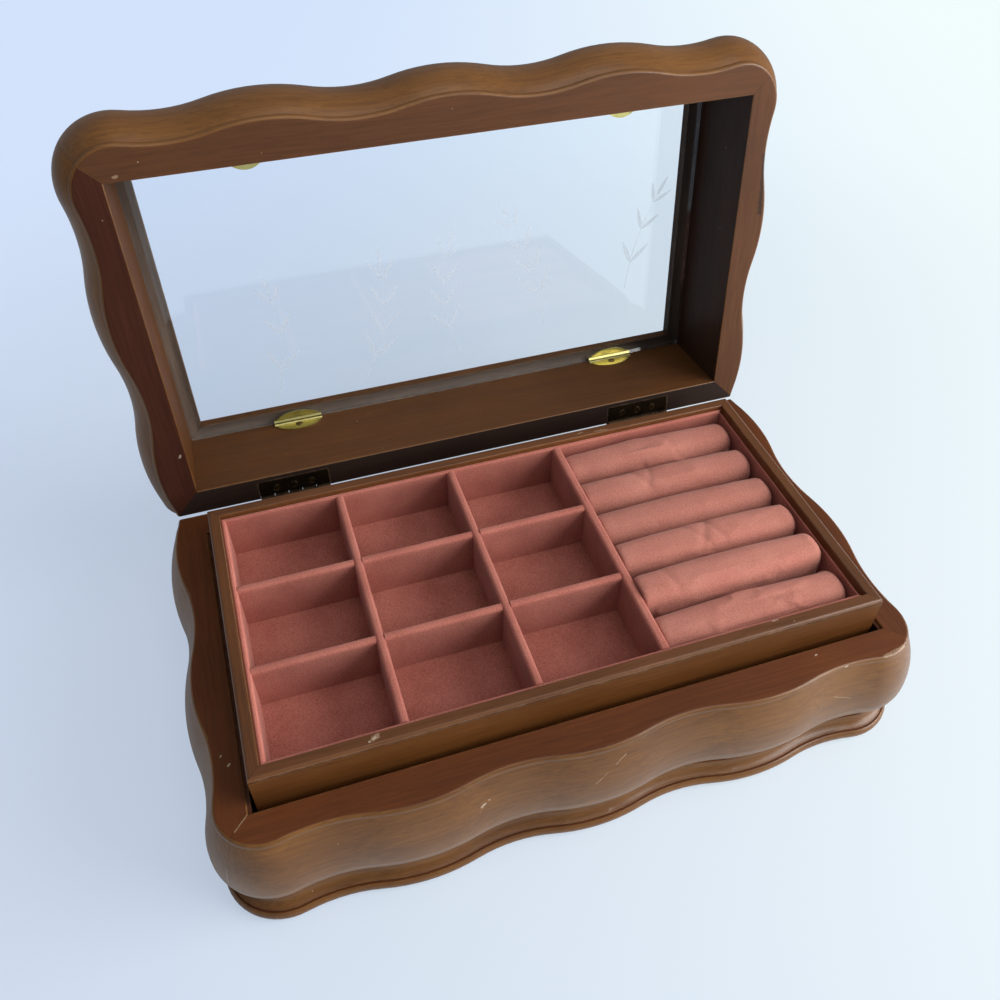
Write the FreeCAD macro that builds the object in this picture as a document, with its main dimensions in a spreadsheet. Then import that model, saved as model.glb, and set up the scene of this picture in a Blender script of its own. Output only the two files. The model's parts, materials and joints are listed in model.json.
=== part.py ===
"""Serpentine wooden jewelry box: mitred base and glass lid, lift-out lined tray. Millimetres, +Z up.

The origin is at the middle of the tray's plan, on the underside. The lid is drawn closed and
then swung open about its hinge line, which is how the box is shown at rest.
"""
import FreeCAD, Part
import math
import os

from FreeCAD import Placement, Rotation, Vector

doc = FreeCAD.newDocument("jewelry_box")
sheet = doc.addObject("Spreadsheet::Sheet", "sizes")

DRIVING_SIZES = {
    # Lift-out tray
    "tray_length": 250,
    "tray_width": 132,
    "tray_height": 29.5,
    "tray_wall": 5,
    "tray_floor": 4.5,
    "tray_proud": 16,
    "tray_gap": 3,
    "rim_bead": 1.4,
    "rim_quirk": 0.45,
    "rim_ease": 0.6,
    # Flocked lining, dividers and partition of the tray
    "lining": 2,
    "lining_drop": 2,
    "lining_round": 0.8,
    "end_lining": 0.8,
    "end_lining_drop": 4,
    "end_lining_round": 0.3,
    "floor_card": 1.5,
    "cell_length": 47.5,
    "divider": 3.5,
    "divider_round": 1.4,
    "partition": 4,
    # Ring rolls
    "roll_gap": 0.5,
    "roll_rise": 2.6,
    "roll_swell": 3.7,
    "roll_end_gap": 0.6,
    "roll_tuck_gap": 0.4,
    "roll_draw": 0.9,
    "roll_tuck": 1.5,
    "roll_corner": 5.5,
    # Plan of the serpentine edge, measured at the arris of the mating faces
    "side_rail": 13,
    "front_rail": 14,
    "rear_rail": 11.5,
    "inner_ease": 0.5,
    "wave_depth": 4.1,
    "corner_proud": 1.7,
    "corner_radius": 16.4,
    # Base: felt, plinth board and bellied rails
    "felt": 1,
    "felt_inset": 4,
    "plinth_height": 10,
    "rail_height": 43,
    "bead": 1.6,
    "quirk": 0.8,
    "belly": 7.8,
    "belly_drop": 26,
    "belly_round": 14,
    "neck": 0.5,
    "torus_height": 4.6,
    "torus_proud": 6.8,
    "torus_swell": 1.2,
    "plinth_fillet": 0.7,
    "cove_top": 1.4,
    # Inside of the base
    "guide": 1.4,
    "guide_drop": 1.2,
    "ledge_width": 6,
    "ledge_height": 8,
    # Lid rails and glass
    "lid_gap": 0.4,
    "lid_height": 48.5,
    "lid_belly": 7.6,
    "lid_belly_rise": 17.5,
    "lid_belly_round": 12,
    "lid_cove": 8,
    "lid_top_round": 3,
    "glass_depth": 40.5,
    "glass": 3,
    "glass_gap": 0.5,
    "glass_lip": 6,
    "open_degrees": 96.7,
    # Brass angle clips of the glass
    "clip_length": 23,
    "clip_wall_leg": 7.5,
    "front_clip_leg": 15,
    "rear_clip_leg": 6,
    "clip_sheet": 0.8,
    "left_clip_inset": 51,
    "right_clip_inset": 40.5,
    # Butt hinges and screws
    "hinge_length": 32,
    "hinge_inset": 42,
    "hinge_leaf": 0.8,
    "hinge_depth": 9,
    "hinge_offset": 0.7,
    "knuckle": 2,
    "knuckle_gap": 0.2,
    "knuckle_bed": 0.3,
    "pin": 0.9,
    "pin_gap": 0.08,
    "screw_head": 1.7,
    "screw_shank": 0.8,
    "screw_length": 7,
    "screw_gap": 0.08,
}
HALF_WAVES = 3
TRAY_COLUMNS = 3
TRAY_ROWS = 3
ROLL_SWELL_SHARES = (0, 0, 0, 0.5, 1, 0.2)
RING_ROLLS = len(ROLL_SWELL_SHARES)
KNUCKLES = 5
LEAF_SCREWS = 3
LID_SHOULDER_DEGREES = 60
UP = Vector(0, 0, 1)

for row, (alias, value) in enumerate(DRIVING_SIZES.items(), start=1):
    sheet.set(f"A{row}", alias)
    sheet.set(f"B{row}", str(value))
    sheet.setAlias(f"B{row}", alias)
doc.recompute()


def size(alias):
    """One driving size, read back from the sheet."""
    return float(sheet.get(alias))


# Places that several pieces share
OPENING_X = size("tray_length") / 2 + size("tray_gap")
OPENING_Y = size("tray_width") / 2 + size("tray_gap")
CREST_X = OPENING_X + size("side_rail")
CREST_Y = OPENING_Y + size("front_rail")
REAR_Y = OPENING_Y + size("rear_rail")
PLINTH_TOP = size("felt") + size("plinth_height")
BASE_TOP = PLINTH_TOP + size("rail_height")
LID_BOTTOM = BASE_TOP + size("lid_gap")
LID_TOP = LID_BOTTOM + size("lid_height")
GLASS_FACE = LID_BOTTOM + size("glass_depth")
LIP_FACE = GLASS_FACE + size("glass")
TRAY_TOP = BASE_TOP + size("tray_proud")
TRAY_BOTTOM = TRAY_TOP - size("tray_height")
TRAY_INNER_X = size("tray_length") / 2 - size("tray_wall") - size("lining")
TRAY_INNER_Y = size("tray_width") / 2 - size("tray_wall") - size("lining")
TRAY_FLOOR_Z = TRAY_BOTTOM + size("tray_floor") + size("floor_card")
HINGE_Y = REAR_Y + size("hinge_offset")
HINGE_Z = BASE_TOP + size("lid_gap") / 2
OVERRUN = size("rail_height")
LID_SWING = Rotation(Vector(1, 0, 0), -size("open_degrees"))
LID_OPEN = Placement(Vector(), LID_SWING, Vector(0, HINGE_Y, HINGE_Z))

sub_parts = []


def keep(obj, label):
    """Name a finished sub-part after its node and list it for export."""
    obj.Label = label
    sub_parts.append(obj)
    return obj


def shaped(label, shape, placement=Placement()):
    """A sub-part whose shape comes from profiles and arcs worked out above."""
    obj = doc.addObject("Part::Feature", label)
    obj.Shape = shape
    obj.Placement = placement
    return keep(obj, label)


def bound(kind, name, **expressions):
    """A primitive whose properties follow the sheet."""
    obj = doc.addObject(kind, name)
    for prop, text in expressions.items():
        obj.setExpression(prop.replace("__", "."), text)
    return obj


def box_between(low, high):
    """A block between two opposite corners."""
    span = high - low
    return Part.makeBox(span.x, span.y, span.z, low)


def prism(points, bottom, top):
    """An upright prism on a plan polygon."""
    corners = [Vector(x, y, bottom) for x, y in points]
    wire = Part.makePolygon(corners + corners[:1])
    return Part.Face(wire).extrude(UP * (top - bottom))


# Serpentine plan: equal arcs bend out at the crests and in at the troughs, and a tighter arc
# turns each front corner. The half wave length follows from the arcs meeting in tangents.
def half_wave_length():
    depth = size("wave_depth")
    proud = size("corner_proud")
    reach = CREST_X - (depth - proud) - size("corner_radius")
    slope = proud / (2 * depth)
    rest = depth * proud / 2 + 2 * proud * size("corner_radius") - proud ** 2
    square = HALF_WAVES ** 2 - slope
    middle = HALF_WAVES * reach
    return (middle - math.sqrt(middle ** 2 - square * (reach ** 2 - rest))) / square


def right_hand_arcs():
    """Arcs from the middle of the front to past the rear: centre, radius, start, end, bends out."""
    depth = size("wave_depth")
    proud = size("corner_proud")
    corner = size("corner_radius")
    half = half_wave_length()
    radius = (depth ** 2 + half ** 2) / (4 * depth)
    run = math.sqrt(2 * proud * (radius + corner) - proud ** 2)
    lean = math.degrees(math.asin(half / 2 / radius))
    turn = math.degrees(math.atan2(run, radius + corner - proud))
    arcs = []
    for step in range(HALF_WAVES + 1):
        place = step * half
        if step % 2 == 0:
            begin = -90 - lean if step else -90
            arcs.append((Vector(place, radius - CREST_Y), radius, begin, -90 + lean, True))
        else:
            end = 90 - (turn if step == HALF_WAVES else lean)
            arcs.append((Vector(place, depth - radius - CREST_Y), radius, 90 + lean, end, False))
    inset = depth - proud + corner
    arcs.append((Vector(CREST_X - inset, inset - CREST_Y), corner, -90 - turn, turn, True))
    place = inset - CREST_Y + run
    bends_out = False
    begin = 180 + turn
    while place - half / 2 < REAR_Y:
        if bends_out:
            arcs.append((Vector(CREST_X - radius, place), radius, -lean, lean, True))
        else:
            arcs.append((Vector(CREST_X - depth + radius, place), radius, begin, 180 - lean, False))
            begin = 180 + lean
        place += half
        bends_out = not bends_out
    return arcs


def mirrored_arcs(arcs):
    """The same arcs on the left-hand side, with the walk reversed."""
    return [(Vector(-c.x, c.y), r, 180 - end, 180 - begin, out) for c, r, begin, end, out in reversed(arcs)]


RIGHT_ARCS = right_hand_arcs()
EDGE_ARCS = mirrored_arcs(RIGHT_ARCS) + RIGHT_ARCS


def on_arc(arc, degrees, offset, height):
    """A point on an arc of the edge, moved outwards by the offset."""
    centre, radius, _, _, bends_out = arc
    reach = radius + offset if bends_out else radius - offset
    angle = math.radians(degrees)
    return Vector(centre.x + reach * math.cos(angle), centre.y + reach * math.sin(angle), height)


def edge_block(offset, bottom, top):
    """The whole plan inside the serpentine edge, moved by the offset, as an upright block."""
    edges = []
    for arc in EDGE_ARCS:
        _, _, begin, end, _ = arc
        points = [on_arc(arc, degrees, offset, bottom) for degrees in (begin, (begin + end) / 2, end)]
        edges.append(Part.Arc(*points).toShape())
    edges.append(Part.makeLine(edges[-1].lastVertex(True).Point, edges[0].firstVertex(True).Point))
    block = Part.Face(Part.Wire(edges)).extrude(UP * (top - bottom))
    rear = Vector(-2 * CREST_X, REAR_Y, bottom - OVERRUN)
    return block.cut(box_between(rear, Vector(2 * CREST_X, 2 * REAR_Y, top + OVERRUN)))


class Profile:
    """A moulding section: steps of lines and arcs, outwards from the arris and up."""

    def __init__(self, offset, height):
        self.start = (offset, height)
        self.last = self.start
        self.steps = []

    def line(self, offset, height):
        self.steps.append(((offset, height),))
        self.last = (offset, height)

    def arc(self, centre, radius, begin, end):
        """An arc about a centre, from one direction to another in degrees."""
        points = []
        for degrees in ((begin + end) / 2, end):
            angle = math.radians(degrees)
            points.append((centre[0] + radius * math.cos(angle), centre[1] + radius * math.sin(angle)))
        self.steps.append(tuple(points))
        self.last = points[-1]

    def face(self, radius, bends_out):
        """The section as a face that stands at the radius of one arc of the edge."""
        side = 1 if bends_out else -1
        spot = [Vector(radius + side * self.start[0], 0, self.start[1])]
        edges = []
        for step in self.steps:
            ends = [Vector(radius + side * offset, 0, height) for offset, height in step]
            if len(ends) == 1:
                edges.append(Part.makeLine(spot[-1], ends[0]))
            else:
                edges.append(Part.Arc(spot[-1], *ends).toShape())
            spot.append(ends[-1])
        edges.append(Part.makeLine(spot[-1], spot[0]))
        return Part.Face(Part.Wire(edges))


def moulded_block(profile, core_offset, bottom, top):
    """The moulding run round the serpentine edge, joined to the flat core inside it."""
    runs = []
    for centre, radius, begin, end, bends_out in EDGE_ARCS:
        run = profile.face(radius, bends_out).revolve(Vector(), UP, abs(end - begin))
        run.rotate(Vector(), UP, min(begin, end))
        run.translate(centre)
        runs.append(run)
    rear = Vector(-2 * CREST_X, REAR_Y, bottom - OVERRUN)
    behind = box_between(rear, Vector(2 * CREST_X, 2 * REAR_Y, top + OVERRUN))
    band = runs[0].multiFuse(runs[1:]).cut(behind)
    return edge_block(core_offset, bottom, top).fuse(band).removeSplitter()


MOULDING_DEPTH = size("front_rail") - size("wave_depth") - size("bead") * 2
CORE_OFFSET = -MOULDING_DEPTH / 2


def bead_and_quirk(profile, face, toward):
    """The small bead along the arris and the quirk under it, on the mating face of base or lid."""
    bead = size("bead")
    profile.line(0, face)
    profile.arc((0, face + toward * bead), bead, -90 * toward, 0)
    profile.line(bead, face + toward * (bead + size("quirk")))


def swell(profile, proud, widest, toward):
    """The upper swell of the belly, from the quirk to its widest line."""
    offset, height = profile.last
    out = proud - offset
    along = abs(widest - height)
    radius = (out ** 2 + along ** 2) / (2 * out)
    lean = math.degrees(math.asin(along / radius))
    profile.arc((proud - radius, widest), radius, -toward * lean, 0)


def base_rail_profile():
    profile = Profile(-MOULDING_DEPTH, BASE_TOP)
    bead_and_quirk(profile, BASE_TOP, -1)
    widest = BASE_TOP - size("belly_drop")
    swell(profile, size("belly"), widest, -1)
    radius = size("belly_round")
    turn = math.degrees(math.acos(1 - (size("belly") - size("neck")) / radius))
    profile.arc((size("belly") - radius, widest), radius, 0, -turn)
    profile.line(size("neck"), PLINTH_TOP)
    profile.line(-MOULDING_DEPTH, PLINTH_TOP)
    return profile


def plinth_profile():
    """From the bottom up: half-round torus, fillet and a hollow cove up to the rails."""
    bottom = size("felt")
    torus = size("torus_height")
    swell_out = size("torus_swell")
    radius = (swell_out ** 2 + (torus / 2) ** 2) / (2 * swell_out)
    lean = math.degrees(math.asin(torus / 2 / radius))
    edge = size("torus_proud") - swell_out
    profile = Profile(-MOULDING_DEPTH, bottom)
    profile.line(edge, bottom)
    profile.arc((size("torus_proud") - radius, bottom + torus / 2), radius, -lean, lean)
    profile.line(edge - size("plinth_fillet"), bottom + torus)
    profile.line(edge - size("plinth_fillet"), bottom + torus + size("plinth_fillet"))
    offset, height = profile.last
    across = offset - size("cove_top")
    rise = PLINTH_TOP - height
    hollow = (across ** 2 + rise ** 2) / (2 * across)
    lean = math.degrees(math.asin(rise / hollow))
    profile.arc((size("cove_top") + hollow, PLINTH_TOP), hollow, 180 + lean, 180)
    profile.line(-MOULDING_DEPTH, PLINTH_TOP)
    return profile


def lid_rail_profile():
    """From the mating face up: bead, quirk, belly, hollow cove and the upright top frame."""
    profile = Profile(-MOULDING_DEPTH, LID_BOTTOM)
    bead_and_quirk(profile, LID_BOTTOM, 1)
    widest = LID_BOTTOM + size("lid_belly_rise")
    swell(profile, size("lid_belly"), widest, 1)
    radius = size("lid_belly_round")
    profile.arc((size("lid_belly") - radius, widest), radius, 0, LID_SHOULDER_DEGREES)
    offset, height = profile.last
    turn = math.radians(LID_SHOULDER_DEGREES)
    cove = size("lid_cove")
    centre = (offset + cove * math.cos(turn), height + cove * math.sin(turn))
    profile.arc(centre, cove, 180 + LID_SHOULDER_DEGREES, 180)
    offset, height = profile.last
    top_round = size("lid_top_round")
    profile.line(offset, LID_TOP - top_round)
    profile.arc((offset - top_round, LID_TOP - top_round), top_round, 0, 90)
    profile.line(-MOULDING_DEPTH, LID_TOP)
    return profile


def eased(frame, face):
    """The frame with the arris round its opening eased, on its mating face."""
    ease = size("inner_ease")
    arris = []
    for edge in frame.Edges:
        bounds = edge.BoundBox
        on_face = max(abs(bounds.ZMin - face), abs(bounds.ZMax - face)) < ease
        inside_x = max(abs(bounds.XMin), abs(bounds.XMax)) < OPENING_X + ease
        inside_y = max(abs(bounds.YMin), abs(bounds.YMax)) < OPENING_Y + ease
        if on_face and inside_x and inside_y:
            arris.append(edge)
    return frame.makeFillet(ease, arris)


def mitre_wedges(bottom, top):
    """Plan wedges that cut a frame into four rails at the mitres."""
    inner_x = OPENING_X - size("glass_lip")
    inner_y = OPENING_Y - size("glass_lip")
    far = CREST_X
    corners = {(sx, sy): (sx * inner_x, sy * inner_y) for sx in (-1, 1) for sy in (-1, 1)}
    outer = {(sx, sy): (sx * (inner_x + far), sy * (inner_y + far)) for sx in (-1, 1) for sy in (-1, 1)}
    sides = {
        "front": ((-1, -1), (1, -1)),
        "right": ((1, -1), (1, 1)),
        "rear": ((1, 1), (-1, 1)),
        "left": ((-1, 1), (-1, -1)),
    }
    wedges = {}
    for side, (first, second) in sides.items():
        plan = [corners[first], corners[second], outer[second], outer[first]]
        wedges[side] = prism(plan, bottom, top)
    return wedges


# Screws: a countersunk head flush with what it holds, and a straight shank
def screw(grow=0):
    """A screw along -Z with its flat head at the origin, or the hole that it needs."""
    head = size("screw_head") + grow
    shank = size("screw_shank") + grow
    depth = head - shank
    length = size("screw_length") + grow
    outline = [(0, 0), (head, 0), (shank, -depth), (shank, -length), (0, -length)]
    corners = [Vector(x, 0, z) for x, z in outline]
    return Part.Face(Part.makePolygon(corners + corners[:1])).revolve(Vector(), UP, 360)


def screws_at(places, turn, grow=0):
    """Copies of the screw, turned to point into what they hold."""
    copies = []
    for place in places:
        copy = screw(grow)
        copy.Placement = Placement(place, turn)
        copies.append(copy)
    return Part.makeCompound(copies)


POINT_DOWN = Rotation()
POINT_UP = Rotation(Vector(1, 0, 0), 180)
POINT_BACK = Rotation(Vector(1, 0, 0), 90)
POINT_FRONT = Rotation(Vector(1, 0, 0), -90)


# Butt hinges: a leaf let into each rear rail, with knuckles that share one pin at the back edge.
# The knuckles are half let in, in a round bed along the edges of both rails.
HINGE_CENTRES = {"left": size("hinge_inset") - OPENING_X, "right": OPENING_X - size("hinge_inset")}
KNUCKLE_PITCH = size("hinge_length") / KNUCKLES


def knuckle_bed(centre):
    """The round bed that the knuckles of one hinge turn in."""
    start = Vector(centre - size("hinge_length") / 2, HINGE_Y, HINGE_Z)
    radius = size("knuckle") + size("knuckle_bed")
    return Part.makeCylinder(radius, size("hinge_length"), start, Vector(1, 0, 0))


def hinge_leaf(centre, face, away, first_knuckle):
    """A leaf whose face is flush with the rail and whose knuckles start at the given one."""
    leaf = size("hinge_leaf")
    low_z = min(face, face - away * leaf)
    start = centre - size("hinge_length") / 2
    plate_low = Vector(start, REAR_Y - size("hinge_depth"), low_z)
    plate = box_between(plate_low, Vector(start + size("hinge_length"), REAR_Y, low_z + leaf))
    solid = plate.cut(knuckle_bed(centre))
    root_y = HINGE_Y - size("knuckle") - size("knuckle_bed") - leaf
    for knuckle in range(first_knuckle, KNUCKLES, 2):
        low_x = start + knuckle * KNUCKLE_PITCH + size("knuckle_gap") / 2
        width = KNUCKLE_PITCH - size("knuckle_gap")
        tongue = box_between(Vector(low_x, root_y, low_z), Vector(low_x + width, HINGE_Y, low_z + leaf))
        barrel = Part.makeCylinder(size("knuckle"), width, Vector(low_x, HINGE_Y, HINGE_Z), Vector(1, 0, 0))
        solid = solid.fuse([tongue, barrel])
    bore_start = Vector(start - OVERRUN, HINGE_Y, HINGE_Z)
    bore_length = size("hinge_length") + 2 * OVERRUN
    bore = Part.makeCylinder(size("pin") + size("pin_gap"), bore_length, bore_start, Vector(1, 0, 0))
    return solid.cut(bore).removeSplitter()


def leaf_pockets(face, away):
    """The recesses that the leaves are let into, each with the bed of its knuckles."""
    leaf = size("hinge_leaf")
    pockets = []
    for centre in HINGE_CENTRES.values():
        low_x = centre - size("hinge_length") / 2
        low = Vector(low_x, REAR_Y - size("hinge_depth"), min(face, face - away * leaf))
        pockets.append(box_between(low, Vector(low_x + size("hinge_length"), REAR_Y, low.z + leaf)))
        pockets.append(knuckle_bed(centre))
    return pockets


def leaf_screw_places(face):
    """Screw places along each leaf, in the middle of its plate."""
    middle_y = REAR_Y - size("hinge_depth") / 2
    places = []
    for centre in HINGE_CENTRES.values():
        for count in range(LEAF_SCREWS):
            along_share = (count + 1) / (LEAF_SCREWS + 1) - 1 / 2
            places.append(Vector(centre + along_share * size("hinge_length"), middle_y, face))
    return places


BASE_SCREWS = leaf_screw_places(BASE_TOP)
LID_SCREWS = leaf_screw_places(LID_BOTTOM)


# Brass angle clips: two rounded legs, one against the lid wall and one on the glass. The front
# clips reach further over the glass, and the right-hand ones stand nearer the end of the lid.
CLIP_LEGS = {-1: size("front_clip_leg"), 1: size("rear_clip_leg")}


def clip_places():
    """Middle of each clip's fold in plan, and the side of the lid that it stands on."""
    columns = {"left": size("left_clip_inset") - OPENING_X, "right": OPENING_X - size("right_clip_inset")}
    places = {}
    for row, side in (("front", -1), ("rear", 1)):
        for column, x in columns.items():
            places[f"{row}_{column}"] = (x, side)
    return places


def clip_leg(reach):
    """A half ellipse of sheet, flat on XY, with its straight edge along X."""
    half = size("clip_length") / 2
    tip = Vector(0, -reach, 0)
    side = Vector(half, 0, 0)
    ellipse = Part.Ellipse(side, tip, Vector()) if half > reach else Part.Ellipse(tip, side, Vector())
    sheet_thick = size("clip_sheet")
    whole = Part.Face(Part.Wire(ellipse.toShape())).extrude(UP * sheet_thick)
    return whole.cut(box_between(Vector(-half, 0, 0), Vector(half, reach, sheet_thick)))


def clip_screw_place(x, side):
    leg_middle = GLASS_FACE - size("clip_wall_leg") / 2
    return Vector(x, side * (OPENING_Y - size("clip_sheet")), leg_middle)


def glass_clip(x, side):
    """One clip as it stands with the lid closed."""
    sheet_thick = size("clip_sheet")
    on_glass = clip_leg(CLIP_LEGS[side])
    on_glass.translate(Vector(0, 0, -sheet_thick))
    on_wall = clip_leg(size("clip_wall_leg"))
    on_wall.rotate(Vector(), Vector(1, 0, 0), 90)
    solid = on_glass.fuse(on_wall).removeSplitter()
    if side < 0:
        solid.rotate(Vector(), UP, 180)
    solid.translate(Vector(x, side * OPENING_Y, GLASS_FACE))
    turn = POINT_BACK if side > 0 else POINT_FRONT
    return solid.cut(screws_at([clip_screw_place(x, side)], turn, size("screw_gap")))


# Base
def make_base():
    felt_top = size("felt")
    shaped("underside_felt", edge_block(-size("felt_inset"), 0, felt_top))
    shaped("base_plinth", moulded_block(plinth_profile(), CORE_OFFSET, felt_top, PLINTH_TOP))

    frame = moulded_block(base_rail_profile(), CORE_OFFSET, PLINTH_TOP, BASE_TOP)
    opening = box_between(
        Vector(-OPENING_X, -OPENING_Y, PLINTH_TOP - OVERRUN),
        Vector(OPENING_X, OPENING_Y, BASE_TOP + OVERRUN),
    )
    frame = eased(frame.cut(opening), BASE_TOP)
    for side, wedge in mitre_wedges(PLINTH_TOP, BASE_TOP).items():
        rail = frame.common(wedge)
        if side == "rear":
            holes = screws_at(BASE_SCREWS, POINT_DOWN, size("screw_gap"))
            rail = rail.cut(leaf_pockets(BASE_TOP, 1) + [holes])
        shaped(f"base_{side}_rail", rail.Solids[0])


def make_base_inside():
    card = bound(
        "Part::Box", "well_floor_lining",
        Length="sizes.tray_length + 2 * sizes.tray_gap - 2 * sizes.guide",
        Width="sizes.tray_width + 2 * sizes.tray_gap",
        Height="sizes.floor_card",
        Placement__Base__x="-sizes.tray_length / 2 - sizes.tray_gap + sizes.guide",
        Placement__Base__y="-sizes.tray_width / 2 - sizes.tray_gap",
        Placement__Base__z="sizes.felt + sizes.plinth_height",
    )
    keep(card, "well_floor_lining")
    left_x = "-sizes.tray_length / 2 - sizes.tray_gap"
    right_x = "sizes.tray_length / 2 + sizes.tray_gap - sizes.guide"
    for hand, place in (("left", left_x), ("right", right_x)):
        strip = bound(
            "Part::Box", f"{hand}_guide_strip",
            Length="sizes.guide",
            Width="sizes.tray_width + 2 * sizes.tray_gap",
            Height="sizes.rail_height - sizes.guide_drop",
            Placement__Base__x=place,
            Placement__Base__y="-sizes.tray_width / 2 - sizes.tray_gap",
            Placement__Base__z="sizes.felt + sizes.plinth_height",
        )
        keep(strip, f"{hand}_guide_strip")
    front_y = "-sizes.tray_width / 2 - sizes.tray_gap"
    rear_y = "sizes.tray_width / 2 + sizes.tray_gap - sizes.ledge_width"
    for row, place in (("front", front_y), ("rear", rear_y)):
        ledge = bound(
            "Part::Box", f"{row}_tray_ledge",
            Length="sizes.tray_length + 2 * sizes.tray_gap - 2 * sizes.guide",
            Width="sizes.ledge_width",
            Height="sizes.ledge_height",
            Placement__Base__x="-sizes.tray_length / 2 - sizes.tray_gap + sizes.guide",
            Placement__Base__y=place,
            Placement__Base__z="sizes.felt + sizes.plinth_height + sizes.rail_height + sizes.tray_proud"
                               " - sizes.tray_height - sizes.ledge_height",
        )
        keep(ledge, f"{row}_tray_ledge")


def make_hinges():
    base_holes = screws_at(BASE_SCREWS, POINT_DOWN, size("screw_gap"))
    lid_holes = screws_at(LID_SCREWS, POINT_UP, size("screw_gap"))
    for hand, centre in HINGE_CENTRES.items():
        shaped(f"{hand}_hinge_base_leaf", hinge_leaf(centre, BASE_TOP, 1, 0).cut(base_holes))
        shaped(f"{hand}_hinge_lid_leaf", hinge_leaf(centre, LID_BOTTOM, -1, 1).cut(lid_holes), LID_OPEN)
        pin = bound(
            "Part::Cylinder", f"{hand}_hinge_pin",
            Radius="sizes.pin",
            Height="sizes.hinge_length",
        )
        pin.Placement = Placement(
            Vector(centre - size("hinge_length") / 2, HINGE_Y, HINGE_Z), Rotation(Vector(0, 1, 0), 90)
        )
        keep(pin, f"{hand}_hinge_pin")
    shaped("base_hinge_screws", screws_at(BASE_SCREWS, POINT_DOWN))
    shaped("lid_hinge_screws", screws_at(LID_SCREWS, POINT_UP), LID_OPEN)


# Lid
def make_lid():
    frame = moulded_block(lid_rail_profile(), CORE_OFFSET, LID_BOTTOM, LID_TOP)
    lip = size("glass_lip")
    cavity = box_between(
        Vector(-OPENING_X, -OPENING_Y, LID_BOTTOM - OVERRUN), Vector(OPENING_X, OPENING_Y, LIP_FACE)
    )
    window = box_between(
        Vector(lip - OPENING_X, lip - OPENING_Y, LID_BOTTOM),
        Vector(OPENING_X - lip, OPENING_Y - lip, LID_TOP + OVERRUN),
    )
    frame = eased(frame.cut([cavity, window]), LID_BOTTOM)
    clip_holes = {-1: [], 1: []}
    for x, side in clip_places().values():
        clip_holes[side].append(clip_screw_place(x, side))
    front_holes = screws_at(clip_holes[-1], POINT_FRONT, size("screw_gap"))
    rear_holes = screws_at(clip_holes[1], POINT_BACK, size("screw_gap"))
    for side, wedge in mitre_wedges(LID_BOTTOM, LID_TOP).items():
        rail = frame.common(wedge)
        if side == "rear":
            holes = screws_at(LID_SCREWS, POINT_UP, size("screw_gap"))
            rail = rail.cut(leaf_pockets(LID_BOTTOM, -1) + [holes, rear_holes])
        if side == "front":
            rail = rail.cut(front_holes)
        shaped(f"lid_{side}_rail", rail.Solids[0], LID_OPEN)

    pane = bound(
        "Part::Box", "lid_glass",
        Length="sizes.tray_length + 2 * sizes.tray_gap - 2 * sizes.glass_gap",
        Width="sizes.tray_width + 2 * sizes.tray_gap - 2 * sizes.glass_gap",
        Height="sizes.glass",
    )
    inset = size("glass_gap")
    pane_low = Vector(inset - OPENING_X, inset - OPENING_Y, GLASS_FACE)
    pane.Placement = LID_OPEN.multiply(Placement(pane_low, Rotation()))
    keep(pane, "lid_glass")

    for name, (x, side) in clip_places().items():
        shaped(f"{name}_glass_clip", glass_clip(x, side), LID_OPEN)
    front_screws = screws_at(clip_holes[-1], POINT_FRONT).Solids
    rear_screws = screws_at(clip_holes[1], POINT_BACK).Solids
    shaped("clip_screws", Part.makeCompound(front_screws + rear_screws), LID_OPEN)


# Tray
TRAY_Z = "sizes.felt + sizes.plinth_height + sizes.rail_height + sizes.tray_proud - sizes.tray_height"


def mitred_board(label, long_half, short_half, thickness, bottom, top, quarter_turns, reach):
    """A board with mitred ends: longer outside than inside, turned to its side of the tray."""
    wedge = bound(
        "Part::Wedge", label,
        Xmin=f"-({long_half})", Xmax=long_half,
        X2min=f"-({short_half})", X2max=short_half,
        Zmin=bottom, Zmax=top, Z2min=bottom, Z2max=top,
        Ymin=f"-({reach})", Ymax=f"-({reach}) + {thickness}",
    )
    wedge.Placement = Placement(Vector(), Rotation(UP, 90 * quarter_turns))
    return wedge


def rounded_top(board, label, outer_round, inner_round):
    """The board with both long top edges rounded. The outer edge of a mitred board is the longer."""
    doc.recompute()
    bounds = board.Shape.BoundBox
    longest = max(bounds.XLength, bounds.YLength)
    top_edges = [
        (edge.Length, number) for number, edge in enumerate(board.Shape.Edges, start=1)
        if edge.BoundBox.ZMin > bounds.Center.z and edge.Length > longest / 2
    ]
    (_, inner), (_, outer) = sorted(top_edges)
    rounded = doc.addObject("Part::Fillet", f"{label}_rounded")
    rounded.Base = board
    rounded.Edges = [
        (outer, size(outer_round), size(outer_round)),
        (inner, size(inner_round), size(inner_round)),
    ]
    return rounded


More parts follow.
